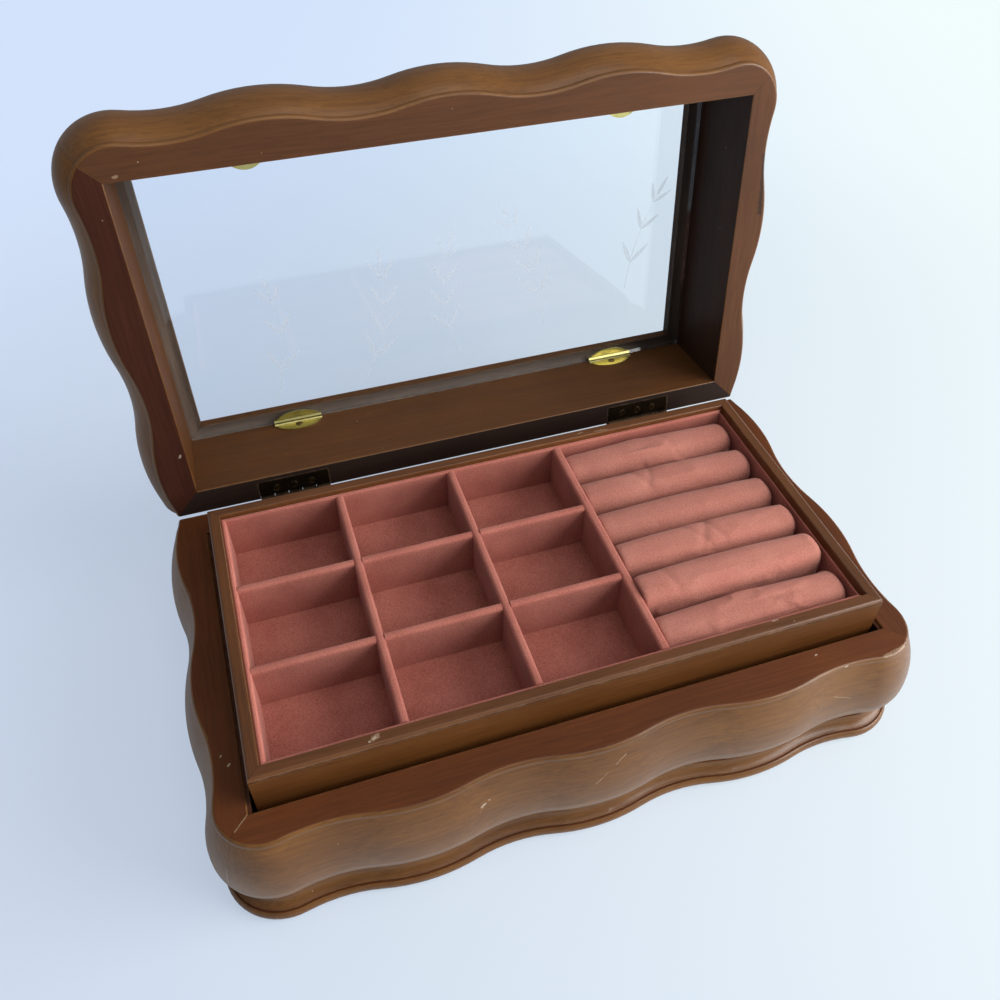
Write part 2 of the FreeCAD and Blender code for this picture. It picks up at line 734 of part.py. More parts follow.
def make_tray_walls():
    """Each wall has a bead along its outer top edge and a quirk under the bead. The lining at the
    end of the ring rolls is a thin card that stops short of the others."""
    long_half = "sizes.tray_length / 2"
    wide_half = "sizes.tray_width / 2"
    wall = "sizes.tray_wall"
    top = f"{TRAY_Z} + sizes.tray_height"
    lining_bottom = f"{TRAY_Z} + sizes.tray_floor + sizes.floor_card"
    quirk_top = f"{top} - sizes.rim_bead"
    quirk_bottom = f"{quirk_top} - sizes.rim_quirk"
    sides = {
        "front": (long_half, wide_half, 0),
        "right": (wide_half, long_half, 1),
        "rear": (long_half, wide_half, 2),
        "left": (wide_half, long_half, 3),
    }
    for side, (along, reach, turns) in sides.items():
        board = mitred_board(
            f"{side}_wall_blank", along, f"{along} - {wall}", wall, TRAY_Z, top, turns, reach
        )
        quirk = mitred_board(
            f"{side}_wall_quirk", along, f"{along} - sizes.rim_quirk", "sizes.rim_quirk",
            quirk_bottom, quirk_top, turns, reach,
        )
        beaded = doc.addObject("Part::Cut", f"tray_{side}_wall")
        beaded.Base = rounded_top(board, f"{side}_wall", "rim_bead", "rim_ease")
        beaded.Tool = quirk
        keep(beaded, f"tray_{side}_wall")
        card = "end_lining" if side == "right" else "lining"
        lining = mitred_board(
            f"{side}_lining_blank", f"{along} - {wall}", f"{along} - {wall} - sizes.{card}", f"sizes.{card}",
            lining_bottom, f"{top} - sizes.{card}_drop", turns, f"{reach} - {wall}",
        )
        soft_top = rounded_top(lining, f"{side}_lining", f"{card}_round", f"{card}_round")
        keep(soft_top, f"tray_{side}_lining")


def make_tray_floor():
    for label, bottom, thickness in (
        ("tray_floor_board", TRAY_Z, "sizes.tray_floor"),
        ("tray_floor_lining", f"{TRAY_Z} + sizes.tray_floor", "sizes.floor_card"),
    ):
        panel = bound(
            "Part::Box", label,
            Length="sizes.tray_length - 2 * sizes.tray_wall",
            Width="sizes.tray_width - 2 * sizes.tray_wall",
            Height=thickness,
            Placement__Base__x="-sizes.tray_length / 2 + sizes.tray_wall",
            Placement__Base__y="-sizes.tray_width / 2 + sizes.tray_wall",
            Placement__Base__z=bottom,
        )
        keep(panel, label)


INNER_LEFT = "-sizes.tray_length / 2 + sizes.tray_wall + sizes.lining"
INNER_FRONT = "-sizes.tray_width / 2 + sizes.tray_wall + sizes.lining"
INNER_WIDTH = "(sizes.tray_width - 2 * sizes.tray_wall - 2 * sizes.lining)"
GRID_LENGTH = f"({TRAY_COLUMNS} * sizes.cell_length + {TRAY_COLUMNS - 1} * sizes.divider)"
CELL_WIDTH = f"(({INNER_WIDTH} - {TRAY_ROWS - 1} * sizes.divider) / {TRAY_ROWS})"
DIVIDER_HEIGHT = "(sizes.tray_height - sizes.tray_floor - sizes.floor_card - sizes.lining_drop)"
FLOOR_Z = f"{TRAY_Z} + sizes.tray_floor + sizes.floor_card"


def divider_blank(name, length, width, x, y):
    """A divider board with both long top edges rounded by its flocked wrap."""
    board = bound(
        "Part::Box", f"{name}_board",
        Length=length, Width=width, Height=DIVIDER_HEIGHT,
        Placement__Base__x=x, Placement__Base__y=y, Placement__Base__z=FLOOR_Z,
    )
    return rounded_top(board, name, "divider_round", "divider_round")


def halved(name, blank, slots):
    """The divider with a half-height slot at every crossing."""
    tool = doc.addObject("Part::MultiFuse", f"{name}_slots")
    tool.Shapes = slots
    cut = doc.addObject("Part::Cut", name)
    cut.Base = blank
    cut.Tool = tool
    return keep(cut, name)


def make_dividers():
    columns = [
        f"{INNER_LEFT} + {n} * sizes.cell_length + {n - 1} * sizes.divider"
        for n in range(1, TRAY_COLUMNS)
    ]
    rows = [
        f"{INNER_FRONT} + {n} * {CELL_WIDTH} + {n - 1} * sizes.divider"
        for n in range(1, TRAY_ROWS)
    ]
    half = f"{DIVIDER_HEIGHT} / 2"
    for name, row in zip(("front_long_divider", "rear_long_divider"), rows):
        blank = divider_blank(name, GRID_LENGTH, "sizes.divider", INNER_LEFT, row)
        slots = [
            bound(
                "Part::Box", f"{name}_slot",
                Length="sizes.divider", Width="sizes.divider", Height=half,
                Placement__Base__x=column, Placement__Base__y=row, Placement__Base__z=f"{FLOOR_Z} + {half}",
            )
            for column in columns
        ]
        halved(name, blank, slots)
    for name, column in zip(("left_cross_divider", "right_cross_divider"), columns):
        blank = divider_blank(name, "sizes.divider", INNER_WIDTH, column, INNER_FRONT)
        slots = [
            bound(
                "Part::Box", f"{name}_slot",
                Length="sizes.divider", Width="sizes.divider", Height=half,
                Placement__Base__x=column, Placement__Base__y=row, Placement__Base__z=FLOOR_Z,
            )
            for row in rows
        ]
        halved(name, blank, slots)
    grid_end = f"{INNER_LEFT} + {GRID_LENGTH}"
    partition = divider_blank("ring_partition", "sizes.partition", INNER_WIDTH, grid_end, INNER_FRONT)
    keep(partition, "ring_partition")


# Ring rolls: padded rolls side by side on the tray floor, fullest in the middle. The wrap is tucked
# in at the partition and drawn over in a round at the other end. Some rolls are stuffed fuller.
def quarter(centre, radius, begin, end):
    """An arc in the XZ plane between two directions in degrees."""
    points = []
    for degrees in (begin, (begin + end) / 2, end):
        angle = math.radians(degrees)
        points.append(centre + Vector(math.cos(angle), 0, math.sin(angle)) * radius)
    return Part.Arc(*points).toShape()


def ring_roll(length, radius, height):
    """A roll along X from the origin: half round above its axis, with plumb sides down to the floor."""
    tuck = size("roll_tuck")
    corner = size("roll_corner")
    end_radius = radius - size("roll_draw")
    crown = Part.Arc(
        Vector(tuck, 0, end_radius),
        Vector(length / 2, 0, radius),
        Vector(length - corner, 0, end_radius),
    )
    outline = [
        Part.makeLine(Vector(), Vector(0, 0, end_radius - tuck)),
        quarter(Vector(tuck, 0, end_radius - tuck), tuck, 180, 90),
        crown.toShape(),
        quarter(Vector(length - corner, 0, end_radius - corner), corner, 90, 0),
        Part.makeLine(Vector(length, 0, end_radius - corner), Vector(length, 0, 0)),
        Part.makeLine(Vector(length, 0, 0), Vector()),
    ]
    along = Vector(1, 0, 0)
    halves = []
    for turn in (-90, 90):
        half_plan = Part.Face(Part.Wire(outline))
        half_plan.rotate(Vector(), along, turn)
        halves.append(half_plan)
    top = halves[0].revolve(Vector(), along, 180)
    return top.fuse([half.extrude(-UP * height) for half in halves]).removeSplitter()


def make_ring_rolls():
    grid = TRAY_COLUMNS * size("cell_length") + (TRAY_COLUMNS - 1) * size("divider")
    start = -TRAY_INNER_X + grid + size("partition") + size("roll_tuck_gap")
    end = size("tray_length") / 2 - size("tray_wall") - size("end_lining") - size("roll_end_gap")
    pitch = 2 * TRAY_INNER_Y / RING_ROLLS
    radius = (pitch - size("roll_gap")) / 2
    for number, swell_share in enumerate(ROLL_SWELL_SHARES):
        height = radius + size("roll_rise") + swell_share * size("roll_swell")
        place = Vector(start, TRAY_INNER_Y - (number + 1 / 2) * pitch, TRAY_FLOOR_Z + height)
        roll = ring_roll(end - start, radius, height)
        shaped(f"ring_roll_{number + 1}", roll, Placement(place, Rotation()))


make_base()
make_base_inside()
make_hinges()
make_lid()
make_tray_walls()
make_tray_floor()
make_dividers()
make_ring_rolls()
doc.recompute()

for obj in doc.Objects:
    if "Invalid" in obj.State or "Error" in obj.State:
        raise RuntimeError(f"{obj.Label} failed to build")
os.makedirs("parts", exist_ok=True)
for obj in sub_parts:
    if obj.Shape.isNull() or not obj.Shape.isValid():
        raise RuntimeError(f"{obj.Label} has no valid shape")
    obj.Shape.exportStep(f"parts/{obj.Label}.step")
    print(f"{obj.Label}: {len(obj.Shape.Solids)} solid(s), {obj.Shape.Volume:.0f} mm3")
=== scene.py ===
"""Looks of a serpentine wooden jewelry box with a glass lid and a lift-out lined tray. Metres, +Z up."""
import json
import math

import bmesh
import bpy
from mathutils import Matrix, Vector, noise


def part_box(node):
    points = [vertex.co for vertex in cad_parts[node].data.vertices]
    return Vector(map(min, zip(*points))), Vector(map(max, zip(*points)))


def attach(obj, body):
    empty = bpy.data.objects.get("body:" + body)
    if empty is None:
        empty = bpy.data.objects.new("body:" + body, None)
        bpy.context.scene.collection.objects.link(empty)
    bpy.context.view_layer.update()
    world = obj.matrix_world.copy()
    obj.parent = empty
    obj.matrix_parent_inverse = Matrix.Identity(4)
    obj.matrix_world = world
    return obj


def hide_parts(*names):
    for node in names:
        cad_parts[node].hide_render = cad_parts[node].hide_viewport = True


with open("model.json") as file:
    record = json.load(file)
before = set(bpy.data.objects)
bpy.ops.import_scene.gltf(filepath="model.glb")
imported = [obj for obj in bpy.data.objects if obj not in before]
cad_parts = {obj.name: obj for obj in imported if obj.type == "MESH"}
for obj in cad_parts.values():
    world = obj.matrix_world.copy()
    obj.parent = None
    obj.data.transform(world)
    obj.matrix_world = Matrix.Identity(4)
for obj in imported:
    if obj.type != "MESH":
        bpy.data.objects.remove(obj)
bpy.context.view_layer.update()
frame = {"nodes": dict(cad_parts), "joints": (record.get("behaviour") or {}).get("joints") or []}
MM = 0.001


# Base plinth and rails
# Four mitred hardwood rails with a serpentine belly stand on a moulded plinth board. All are stained
# walnut brown under a satin lacquer that has worn pale along the arrises, partly a painted highlight,
# and the quirk and other hollows are darkened with painted shade.
def add(tree, kind, inputs=None, **settings):
    """One shader node with its settings. Its inputs are plain values or links from other sockets."""
    made = tree.nodes.new(kind)
    for name, value in settings.items():
        setattr(made, name, value)
    for key, value in (inputs or {}).items():
        if isinstance(value, bpy.types.NodeSocket):
            tree.links.new(value, made.inputs[key])
        else:
            made.inputs[key].default_value = value
    return made


def sum_of(tree, operation, first, second=0.0):
    """The result of one arithmetic node."""
    return add(tree, "ShaderNodeMath", {0: first, 1: second}, operation=operation).outputs[0]


def vector_of(tree, operation, first, second, output="Vector"):
    """The result of one vector arithmetic node."""
    return add(tree, "ShaderNodeVectorMath", {0: first, 1: second}, operation=operation).outputs[output]


def between(tree, value, low, high):
    """A soft step: 0 below low, 1 above high."""
    inputs = {"Value": value, "From Min": low, "From Max": high}
    return add(tree, "ShaderNodeMapRange", inputs, interpolation_type="SMOOTHSTEP").outputs[0]


def tinted(tree, share, first, second):
    """Two colours mixed by a share."""
    return add(tree, "ShaderNodeMix", {0: share, 6: first, 7: second}, data_type="RGBA").outputs[2]


def scaled(tree, value, share):
    """A value times a share."""
    return sum_of(tree, "MULTIPLY", value, share)


def speckle(tree, vector, scale, detail=2.0, roughness=0.5):
    """Noise from 0 to 1."""
    inputs = {"Vector": vector, "Scale": scale, "Detail": detail, "Roughness": roughness}
    return add(tree, "ShaderNodeTexNoise", inputs).outputs[0]


def new_group(name, inputs, outputs):
    """A shader group: the tree, what it is given and what it puts out."""
    tree = bpy.data.node_groups.new(name, "ShaderNodeTree")
    for label, kind in inputs.items():
        tree.interface.new_socket(label, in_out="INPUT", socket_type="NodeSocket" + kind)
    for label, kind in outputs.items():
        tree.interface.new_socket(label, in_out="OUTPUT", socket_type="NodeSocket" + kind)
    return tree, tree.nodes.new("NodeGroupInput").outputs, tree.nodes.new("NodeGroupOutput").inputs


def placed(tree, group, **inputs):
    """The outputs of a shader group placed in a material with its own values."""
    return add(tree, "ShaderNodeGroup", inputs, node_tree=group).outputs


def new_finish(name):
    """A material, its tree and its surface shader."""
    material = bpy.data.materials.new(name)
    material.use_nodes = True
    return material, material.node_tree, material.node_tree.nodes["Principled BSDF"]


GRAIN_SWAY = 8 * MM


def grain_group():
    """Fine straight grain under stain, along X: faint figure, fibre streaks and short dark pores."""
    tree, given, put = new_group(
        "wood_grain",
        {"Vector": "Vector", "Dark": "Color", "Light": "Color"},
        {"Color": "Color", "Pores": "Float", "Streak": "Float"},
    )
    sway = add(tree, "ShaderNodeTexNoise", {"Vector": given["Vector"], "Scale": 11.0, "Detail": 1.0})
    drift = vector_of(tree, "SUBTRACT", sway.outputs["Color"], (0.5, 0.5, 0.5))
    drift = vector_of(tree, "MULTIPLY", drift, (0.0, GRAIN_SWAY, GRAIN_SWAY))
    bent = vector_of(tree, "ADD", given["Vector"], drift)
    figure = speckle(tree, vector_of(tree, "MULTIPLY", bent, (6.0, 75.0, 75.0)), 1.0, 2.0)
    fibre = speckle(tree, vector_of(tree, "MULTIPLY", bent, (34.0, 900.0, 900.0)), 1.0, 3.0, 0.65)
    blotch = speckle(tree, given["Vector"], 17.0, 2.0)
    tone = sum_of(tree, "ADD", scaled(tree, figure, 0.32), scaled(tree, fibre, 0.50))
    tone = sum_of(tree, "ADD", tone, scaled(tree, blotch, 0.34))
    streak = between(tree, tone, 0.22, 0.92)
    colour = tinted(tree, streak, given["Dark"], given["Light"])
    pores = speckle(tree, vector_of(tree, "MULTIPLY", bent, (150.0, 2400.0, 2400.0)), 1.0, 1.0)
    pores = between(tree, pores, 0.60, 0.74)
    tree.links.new(tinted(tree, scaled(tree, pores, 0.60), colour, given["Dark"]), put["Color"])
    tree.links.new(pores, put["Pores"])
    tree.links.new(streak, put["Streak"])
    return tree


HOLLOW_SHADE_REACH = 4 * MM


def wear_group():
    """Arrises rubbed pale and partly a painted highlight, hollows with painted shade, and a few small
    nicks.
    """
    tree, given, put = new_group(
        "wear_and_painted_light",
        {"Vector": "Vector", "Reach": "Float"},
        {"WearAndGlint": "Float", "HollowShade": "Float", "Nicks": "Float"},
    )
    rubbed = add(
        tree, "ShaderNodeAmbientOcclusion", {"Distance": given["Reach"]},
        inside=True, only_local=True, samples=4,
    )
    # Pale arrises: partly rubbing, partly a painted highlight on the convex edges.
    edge = between(tree, sum_of(tree, "SUBTRACT", 1.0, rubbed.outputs["AO"]), 0.18, 0.50)
    patchy = between(tree, speckle(tree, given["Vector"], 210.0, 4.0, 0.65), 0.40, 0.68)
    patchy = sum_of(tree, "ADD", scaled(tree, patchy, 0.8), 0.2)
    tree.links.new(sum_of(tree, "MULTIPLY", edge, patchy), put["WearAndGlint"])
    # Painted shade: hollows that the occlusion finds within reach are marked for darkening.
    hollow = add(tree, "ShaderNodeAmbientOcclusion", {"Distance": HOLLOW_SHADE_REACH}, only_local=True, samples=4)
    hollow_shade = between(tree, sum_of(tree, "SUBTRACT", 1.0, hollow.outputs["AO"]), 0.15, 0.70)
    tree.links.new(hollow_shade, put["HollowShade"])
    cells = add(tree, "ShaderNodeTexVoronoi", {"Vector": given["Vector"], "Scale": 140.0})
    chosen = add(tree, "ShaderNodeSeparateColor", {0: cells.outputs["Color"]}).outputs[0]
    reach = scaled(tree, between(tree, chosen, 0.70, 1.0), 0.042)
    nick = sum_of(tree, "SUBTRACT", reach, cells.outputs["Distance"])
    tree.links.new(between(tree, nick, 0.0, 0.015), put["Nicks"])
    return tree


TRAY_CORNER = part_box("tray_front_wall")[0]
MITRE_PLACE = abs(TRAY_CORNER[0]) - abs(TRAY_CORNER[1])
GLUE_LINE = (0.08 * MM, 0.30 * MM)
MITRE_CLEAR = (1.2 * MM, 2.6 * MM)


def mitre_group():
    """The mitred corners in plan: a hairline of glue, and how far a spot is from any mitre."""
    tree, given, put = new_group("mitre_lines", {"Vector": "Vector"}, {"Line": "Float", "Clear": "Float"})
    parts = add(tree, "ShaderNodeSeparateXYZ", {0: given["Vector"]}).outputs
    lengthwise = sum_of(tree, "ABSOLUTE", parts["X"])
    crosswise = sum_of(tree, "ABSOLUTE", parts["Y"])
    off = sum_of(tree, "SUBTRACT", sum_of(tree, "SUBTRACT", lengthwise, crosswise), MITRE_PLACE)
    off = sum_of(tree, "ABSOLUTE", off)
    tree.links.new(sum_of(tree, "SUBTRACT", 1.0, between(tree, off, *GLUE_LINE)), put["Line"])
    tree.links.new(between(tree, off, *MITRE_CLEAR), put["Clear"])
    return tree


wood_grain = grain_group()
wear_and_painted_light = wear_group()
mitre_lines = mitre_group()
WALNUT_DARK = (0.092, 0.032, 0.0065, 1.0)
WALNUT_LIGHT = (0.262, 0.106, 0.0190, 1.0)
RED_STAIN = (0.100, 0.0205, 0.0032, 1.0)
WORN_WOOD_AND_GLINT = (0.40, 0.26, 0.155, 1.0)
GRIME_AND_SHADE = (0.012, 0.006, 0.004, 1.0)
BARE_WOOD = (0.60, 0.47, 0.35, 1.0)
FACE_UP = Vector((0, 0, 1))
RAGGED_SHARE = 3.0
MARK_CORE_SHARE = 0.4


def mark_mask(tree, place, start, end, width):
    """A ragged scratch or fleck between two points of the piece, given in millimetres."""
    way = Vector(end) - Vector(start)
    offset = vector_of(tree, "SUBTRACT", place, Vector(start) * MM)
    along = vector_of(tree, "DOT_PRODUCT", offset, way / way.length_squared / MM, "Value")
    along = add(tree, "ShaderNodeClamp", {"Value": along}).outputs[0]
    nearest = add(
        tree, "ShaderNodeVectorMath", {0: way * MM, "Scale": along}, operation="SCALE"
    ).outputs[0]
    gap = add(
        tree, "ShaderNodeVectorMath", {0: vector_of(tree, "SUBTRACT", offset, nearest)}, operation="LENGTH"
    ).outputs["Value"]
    ragged = sum_of(tree, "SUBTRACT", speckle(tree, place, 1300.0, 3.0, 0.7), 0.5)
    gap = sum_of(tree, "ADD", gap, scaled(tree, ragged, RAGGED_SHARE * width * MM))
    return sum_of(tree, "SUBTRACT", 1.0, between(tree, gap, MARK_CORE_SHARE * width * MM, width * MM))


BELLY_TONES = (WALNUT_DARK, WALNUT_LIGHT)


def shaded(tone, share):
    """A colour made darker or lighter."""
    return [share * part for part in tone[:3]] + [1.0]


STAIN_SHARE = 0.80
RED_TOP = ((FACE_UP, RED_STAIN, 0.0, STAIN_SHARE),)
SATIN = 0.28
ARRIS_REACH = 1.0 * MM
FLAT_BLEND = 0.5 * MM
PORE_DEPTH = 0.05 * MM
STREAK_SHARES = (0.60, 1.45)
HOLLOW_SHADE_SHARE = 0.75
WORN_GLINT_SHARE = 0.58
GLUE_SHARE = 0.35
MARK_SHARE = 0.7
BELLY_COAT_SHARE = 0.50
FLAT_COAT_LOSS_SHARE = 0.46


def stained_wood(
    name, turn, shift, tones=BELLY_TONES, closing=Matrix(), flats=RED_TOP, marks=(), shine=SATIN
):
    """A lacquered wood whose grain runs along X once the piece is closed and turned. Flats, each with
    the way it faces, its stain, the height it starts at and how much the stain covers, kept more stain
    and less lacquer than the bellies; on the lid some of these stains are painted shade or a painted
    reflection. Marks are scratches, flecks and chips."""
    material, tree, surface = new_finish(name)
    coords = add(tree, "ShaderNodeTexCoord").outputs
    closed = add(
        tree, "ShaderNodeMapping",
        {"Vector": coords["Object"], "Location": closing.translation, "Rotation": closing.to_euler()},
    ).outputs[0]
    along = add(
        tree, "ShaderNodeMapping", {"Vector": closed, "Location": shift, "Rotation": turn}
    ).outputs[0]
    grain = placed(tree, wood_grain, Vector=along, Dark=tones[0], Light=tones[1])
    wear = placed(tree, wear_and_painted_light, Vector=along, Reach=ARRIS_REACH)
    mitre = placed(tree, mitre_lines, Vector=closed)
    colour = grain["Color"]
    height = add(tree, "ShaderNodeSeparateXYZ", {0: closed}).outputs["Z"]
    flat = 0.0
    for way, tone, start_height, stain_share in flats:
        facing = vector_of(tree, "DOT_PRODUCT", coords["Normal"], way, "Value")
        risen = between(tree, height, start_height - FLAT_BLEND, start_height)
        facing = sum_of(tree, "MULTIPLY", between(tree, facing, 0.88, 0.98), risen)
        streaks = [shaded(tone, share) for share in STREAK_SHARES]
        grained = tinted(tree, grain["Streak"], *streaks)
        colour = tinted(tree, scaled(tree, facing, stain_share), colour, grained)
        flat = sum_of(tree, "MAXIMUM", flat, facing)
    # Painted shade: hollows are darkened toward near black.
    colour = tinted(tree, scaled(tree, wear["HollowShade"], HOLLOW_SHADE_SHARE), colour, GRIME_AND_SHADE)
    # The pale arris colour is partly wear and partly a painted highlight.
    rubbed = sum_of(tree, "MULTIPLY", wear["WearAndGlint"], mitre["Clear"])
    colour = tinted(tree, scaled(tree, rubbed, WORN_GLINT_SHARE), colour, WORN_WOOD_AND_GLINT)
    colour = tinted(tree, scaled(tree, mitre["Line"], GLUE_SHARE), colour, GRIME_AND_SHADE)
    colour = tinted(tree, scaled(tree, wear["Nicks"], MARK_SHARE), colour, BARE_WOOD)
    for start, end, width, tone in marks:
        mark = scaled(tree, mark_mask(tree, coords["Object"], start, end, width), MARK_SHARE)
        colour = tinted(tree, mark, colour, tone)
    tree.links.new(colour, surface.inputs["Base Color"])
    gloss = scaled(tree, speckle(tree, along, 60.0, 3.0), 0.14)
    gloss = sum_of(tree, "ADD", gloss, scaled(tree, rubbed, 0.15))
    gloss = sum_of(tree, "ADD", gloss, scaled(tree, flat, 0.28))
    coat = sum_of(tree, "SUBTRACT", BELLY_COAT_SHARE, scaled(tree, flat, FLAT_COAT_LOSS_SHARE))
    tree.links.new(coat, surface.inputs["Coat Weight"])
    tree.links.new(sum_of(tree, "ADD", gloss, 0.34), surface.inputs["Roughness"])
    dents = sum_of(tree, "SUBTRACT", scaled(tree, grain["Streak"], 0.35), grain["Pores"])
    dents = sum_of(tree, "SUBTRACT", dents, wear["Nicks"])
    relief = add(tree, "ShaderNodeBump", {"Height": dents, "Strength": 0.30, "Distance": PORE_DEPTH})
    tree.links.new(relief.outputs[0], surface.inputs["Normal"])
    surface.inputs["Specular IOR Level"].default_value = shine
    surface.inputs["Coat Roughness"].default_value = 0.27
    return material


def finished(names, material):
    """Give CAD pieces their finish."""
    for name in names:
        frame["nodes"][name].material_slots[0].material = material


ALONG = (0, 0, 0)
ACROSS = (0, 0, math.pi / 2)
FRONT_MARKS = [
    ((-48.4, -85.9, 42.0), (-47.2, -85.7, 42.6), 0.8, BARE_WOOD),
    ((-45.6, -85.2, 43.6), (-45.0, -85.1, 43.8), 0.5, BARE_WOOD),
    ((-49.8, -86.4, 39.6), (-49.4, -86.4, 39.9), 0.4, BARE_WOOD),
    ((-5.2, -89.3, 39.2), (0.6, -88.4, 44.0), 0.3, WORN_WOOD_AND_GLINT),
    ((1.2, -88.2, 44.6), (7.4, -85.8, 48.5), 0.3, WORN_WOOD_AND_GLINT),
    ((98.7, -85.1, 41.1), (106.9, -85.8, 37.4), 0.25, WORN_WOOD_AND_GLINT),
    ((121.0, -81.1, 53.7), (131.0, -79.2, 53.7), 0.9, WORN_WOOD_AND_GLINT),
    ((94.6, -72.3, 54.0), (95.2, -72.0, 54.0), 0.4, BARE_WOOD),
    ((103.2, -80.3, 53.3), (104.4, -80.2, 53.3), 0.4, BARE_WOOD),
    ((-126.0, -67.0, 54.0), (-133.0, -74.0, 54.0), 0.3, WORN_WOOD_AND_GLINT),
]
LEFT_MARKS = [
    ((-132.3, -48.5, 54.0), (-131.8, -47.9, 54.0), 0.5, BARE_WOOD),
    ((-134.5, -44.0, 54.0), (-134.3, -43.6, 54.0), 0.3, BARE_WOOD),
    ((-126.0, -67.0, 54.0), (-133.0, -74.0, 54.0), 0.3, WORN_WOOD_AND_GLINT),
    ((-138.6, -79.4, 46.0), (-140.6, -79.8, 30.0), 0.35, WORN_WOOD_AND_GLINT),
]
BASE_RAILS = {
    "front": (ALONG, (0, 0.09, -0.03), FRONT_MARKS),
    "rear": (ALONG, (0.3, -0.02, -0.05), ()),
    "left": (ACROSS, (0.7, 0.1, -0.04), LEFT_MARKS),
    "right": (ACROSS, (0.2, -0.2, -0.06), ()),
}
for side, (turn, shift, marks) in BASE_RAILS.items():
    finish = stained_wood(f"base_{side}_walnut", turn, shift, marks=marks)
    finished([f"base_{side}_rail"], finish)
PLINTH_SHIFT = (0.5, 0.14, 0.02)
finished(["base_plinth"], stained_wood("plinth_walnut", ALONG, PLINTH_SHIFT))

# Underside felt
# A thin sheet of brown felt glued under the plinth, so that the box doesn't scratch a dresser.
FELT_DARK = (0.030, 0.017, 0.011, 1.0)
FELT_LIGHT = (0.115, 0.068, 0.045, 1.0)
FELT_FUZZ = 0.3 * MM
felt, tree, surface = new_finish("brown_felt")
fuzz = speckle(tree, add(tree, "ShaderNodeTexCoord").outputs["Object"], 1800.0, 4.0, 0.7)
tree.links.new(tinted(tree, fuzz, FELT_DARK, FELT_LIGHT), surface.inputs["Base Color"])
relief = add(tree, "ShaderNodeBump", {"Height": fuzz, "Strength": 0.6, "Distance": FELT_FUZZ})
tree.links.new(relief.outputs[0], surface.inputs["Normal"])
surface.inputs["Roughness"].default_value = 1.0
surface.inputs["Sheen Weight"].default_value = 0.3
finished(["underside_felt"], felt)

# Inside of the base
# Thin strips guide the tray at its ends, and two ledges glued to the rails carry it. All are stained
# nearly black, because they are seen only when the tray is out.
INNER_TONES = ((0.016, 0.007, 0.005, 1.0), (0.055, 0.025, 0.015, 1.0))
GUIDE_SHIFT = (0.4, 0.3, 0.1)
LEDGE_SHIFT = (0.6, 0.2, 0.2)
guide_wood = stained_wood("guide_wood", ACROSS, GUIDE_SHIFT, INNER_TONES)
inner_wood = stained_wood("inner_wood", ALONG, LEDGE_SHIFT, INNER_TONES)
finished(["left_guide_strip", "right_guide_strip"], guide_wood)
finished(["front_tray_ledge", "rear_tray_ledge"], inner_wood)


# Hinges
# Two brass butt hinges, each with a leaf let into either rear rail, five knuckles and a pin. The brass
# is dull, painted dark brown as painted shade, and slotted brass screws hold their leaves.
RUB_DEPTH = 0.04 * MM


def brass_finish(name, clean, tarnished, polish, dulling):
    """Brass that has dulled in patches and kept fine rubbing marks."""
    material, tree, surface = new_finish(name)
    place = add(tree, "ShaderNodeTexCoord").outputs["Object"]
    patches = between(tree, speckle(tree, place, 260.0, 3.0, 0.55), 0.42, 0.74)
    tone = tinted(tree, scaled(tree, patches, dulling), clean, tarnished)
    tree.links.new(tone, surface.inputs["Base Color"])
    rubbed = speckle(tree, vector_of(tree, "MULTIPLY", place, (300.0, 5000.0, 5000.0)), 1.0, 2.0)
    dulled = scaled(tree, sum_of(tree, "ADD", patches, rubbed), 0.10)
    tree.links.new(sum_of(tree, "ADD", dulled, polish), surface.inputs["Roughness"])
    relief = add(tree, "ShaderNodeBump", {"Height": rubbed, "Strength": 0.10, "Distance": RUB_DEPTH})
    tree.links.new(relief.outputs[0], surface.inputs["Normal"])
    surface.inputs["Metallic"].default_value = 1.0
    return material


# Painted shade: the hinge tones are near black so the leaves sink into the shade of the rear rail.
HINGE_SHADE_TONES = ((0.055, 0.036, 0.020, 1.0), (0.018, 0.012, 0.008, 1.0))
hinge_brass = brass_finish("hinge_brass", *HINGE_SHADE_TONES, polish=0.45, dulling=1.0)
for hand in ("left", "right"):
    finished([f"{hand}_hinge_{piece}" for piece in ("base_leaf", "lid_leaf", "pin")], hinge_brass)


def linked(name, mesh):
    """A mesh as an object of the scene."""
    made = bpy.data.objects.new(name, mesh)
    bpy.context.scene.collection.objects.link(made)
    return made


def drawn(name, shape):
    """A drawn shape as a mesh."""
    mesh = bpy.data.meshes.new(name)
    shape.to_mesh(mesh)
    shape.free()
    return mesh


def worked(*objects):
    """The mesh of the first object after its modifiers. The objects are then no longer needed."""
    bpy.context.view_layer.update()
    graph = bpy.context.evaluated_depsgraph_get()
    mesh = bpy.data.meshes.new_from_object(objects[0].evaluated_get(graph))
    for obj in objects:
        bpy.data.objects.remove(obj)
    return mesh


def smoothed(mesh, degrees):
    """Smooth faces, with the edges sharper than the angle kept crisp."""
    for face in mesh.polygons:
        face.use_smooth = True
    mesh.set_sharp_from_angle(angle=math.radians(degrees))


def shown(name, mesh, material, body, slot, *nodes):
    """A finished piece on its body, in place of the CAD nodes that it stands for."""
    mesh.materials.clear()
    mesh.materials.append(material)
    piece = linked(name, mesh)
    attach(piece, body)
    if nodes:
        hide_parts(*nodes)
    return piece


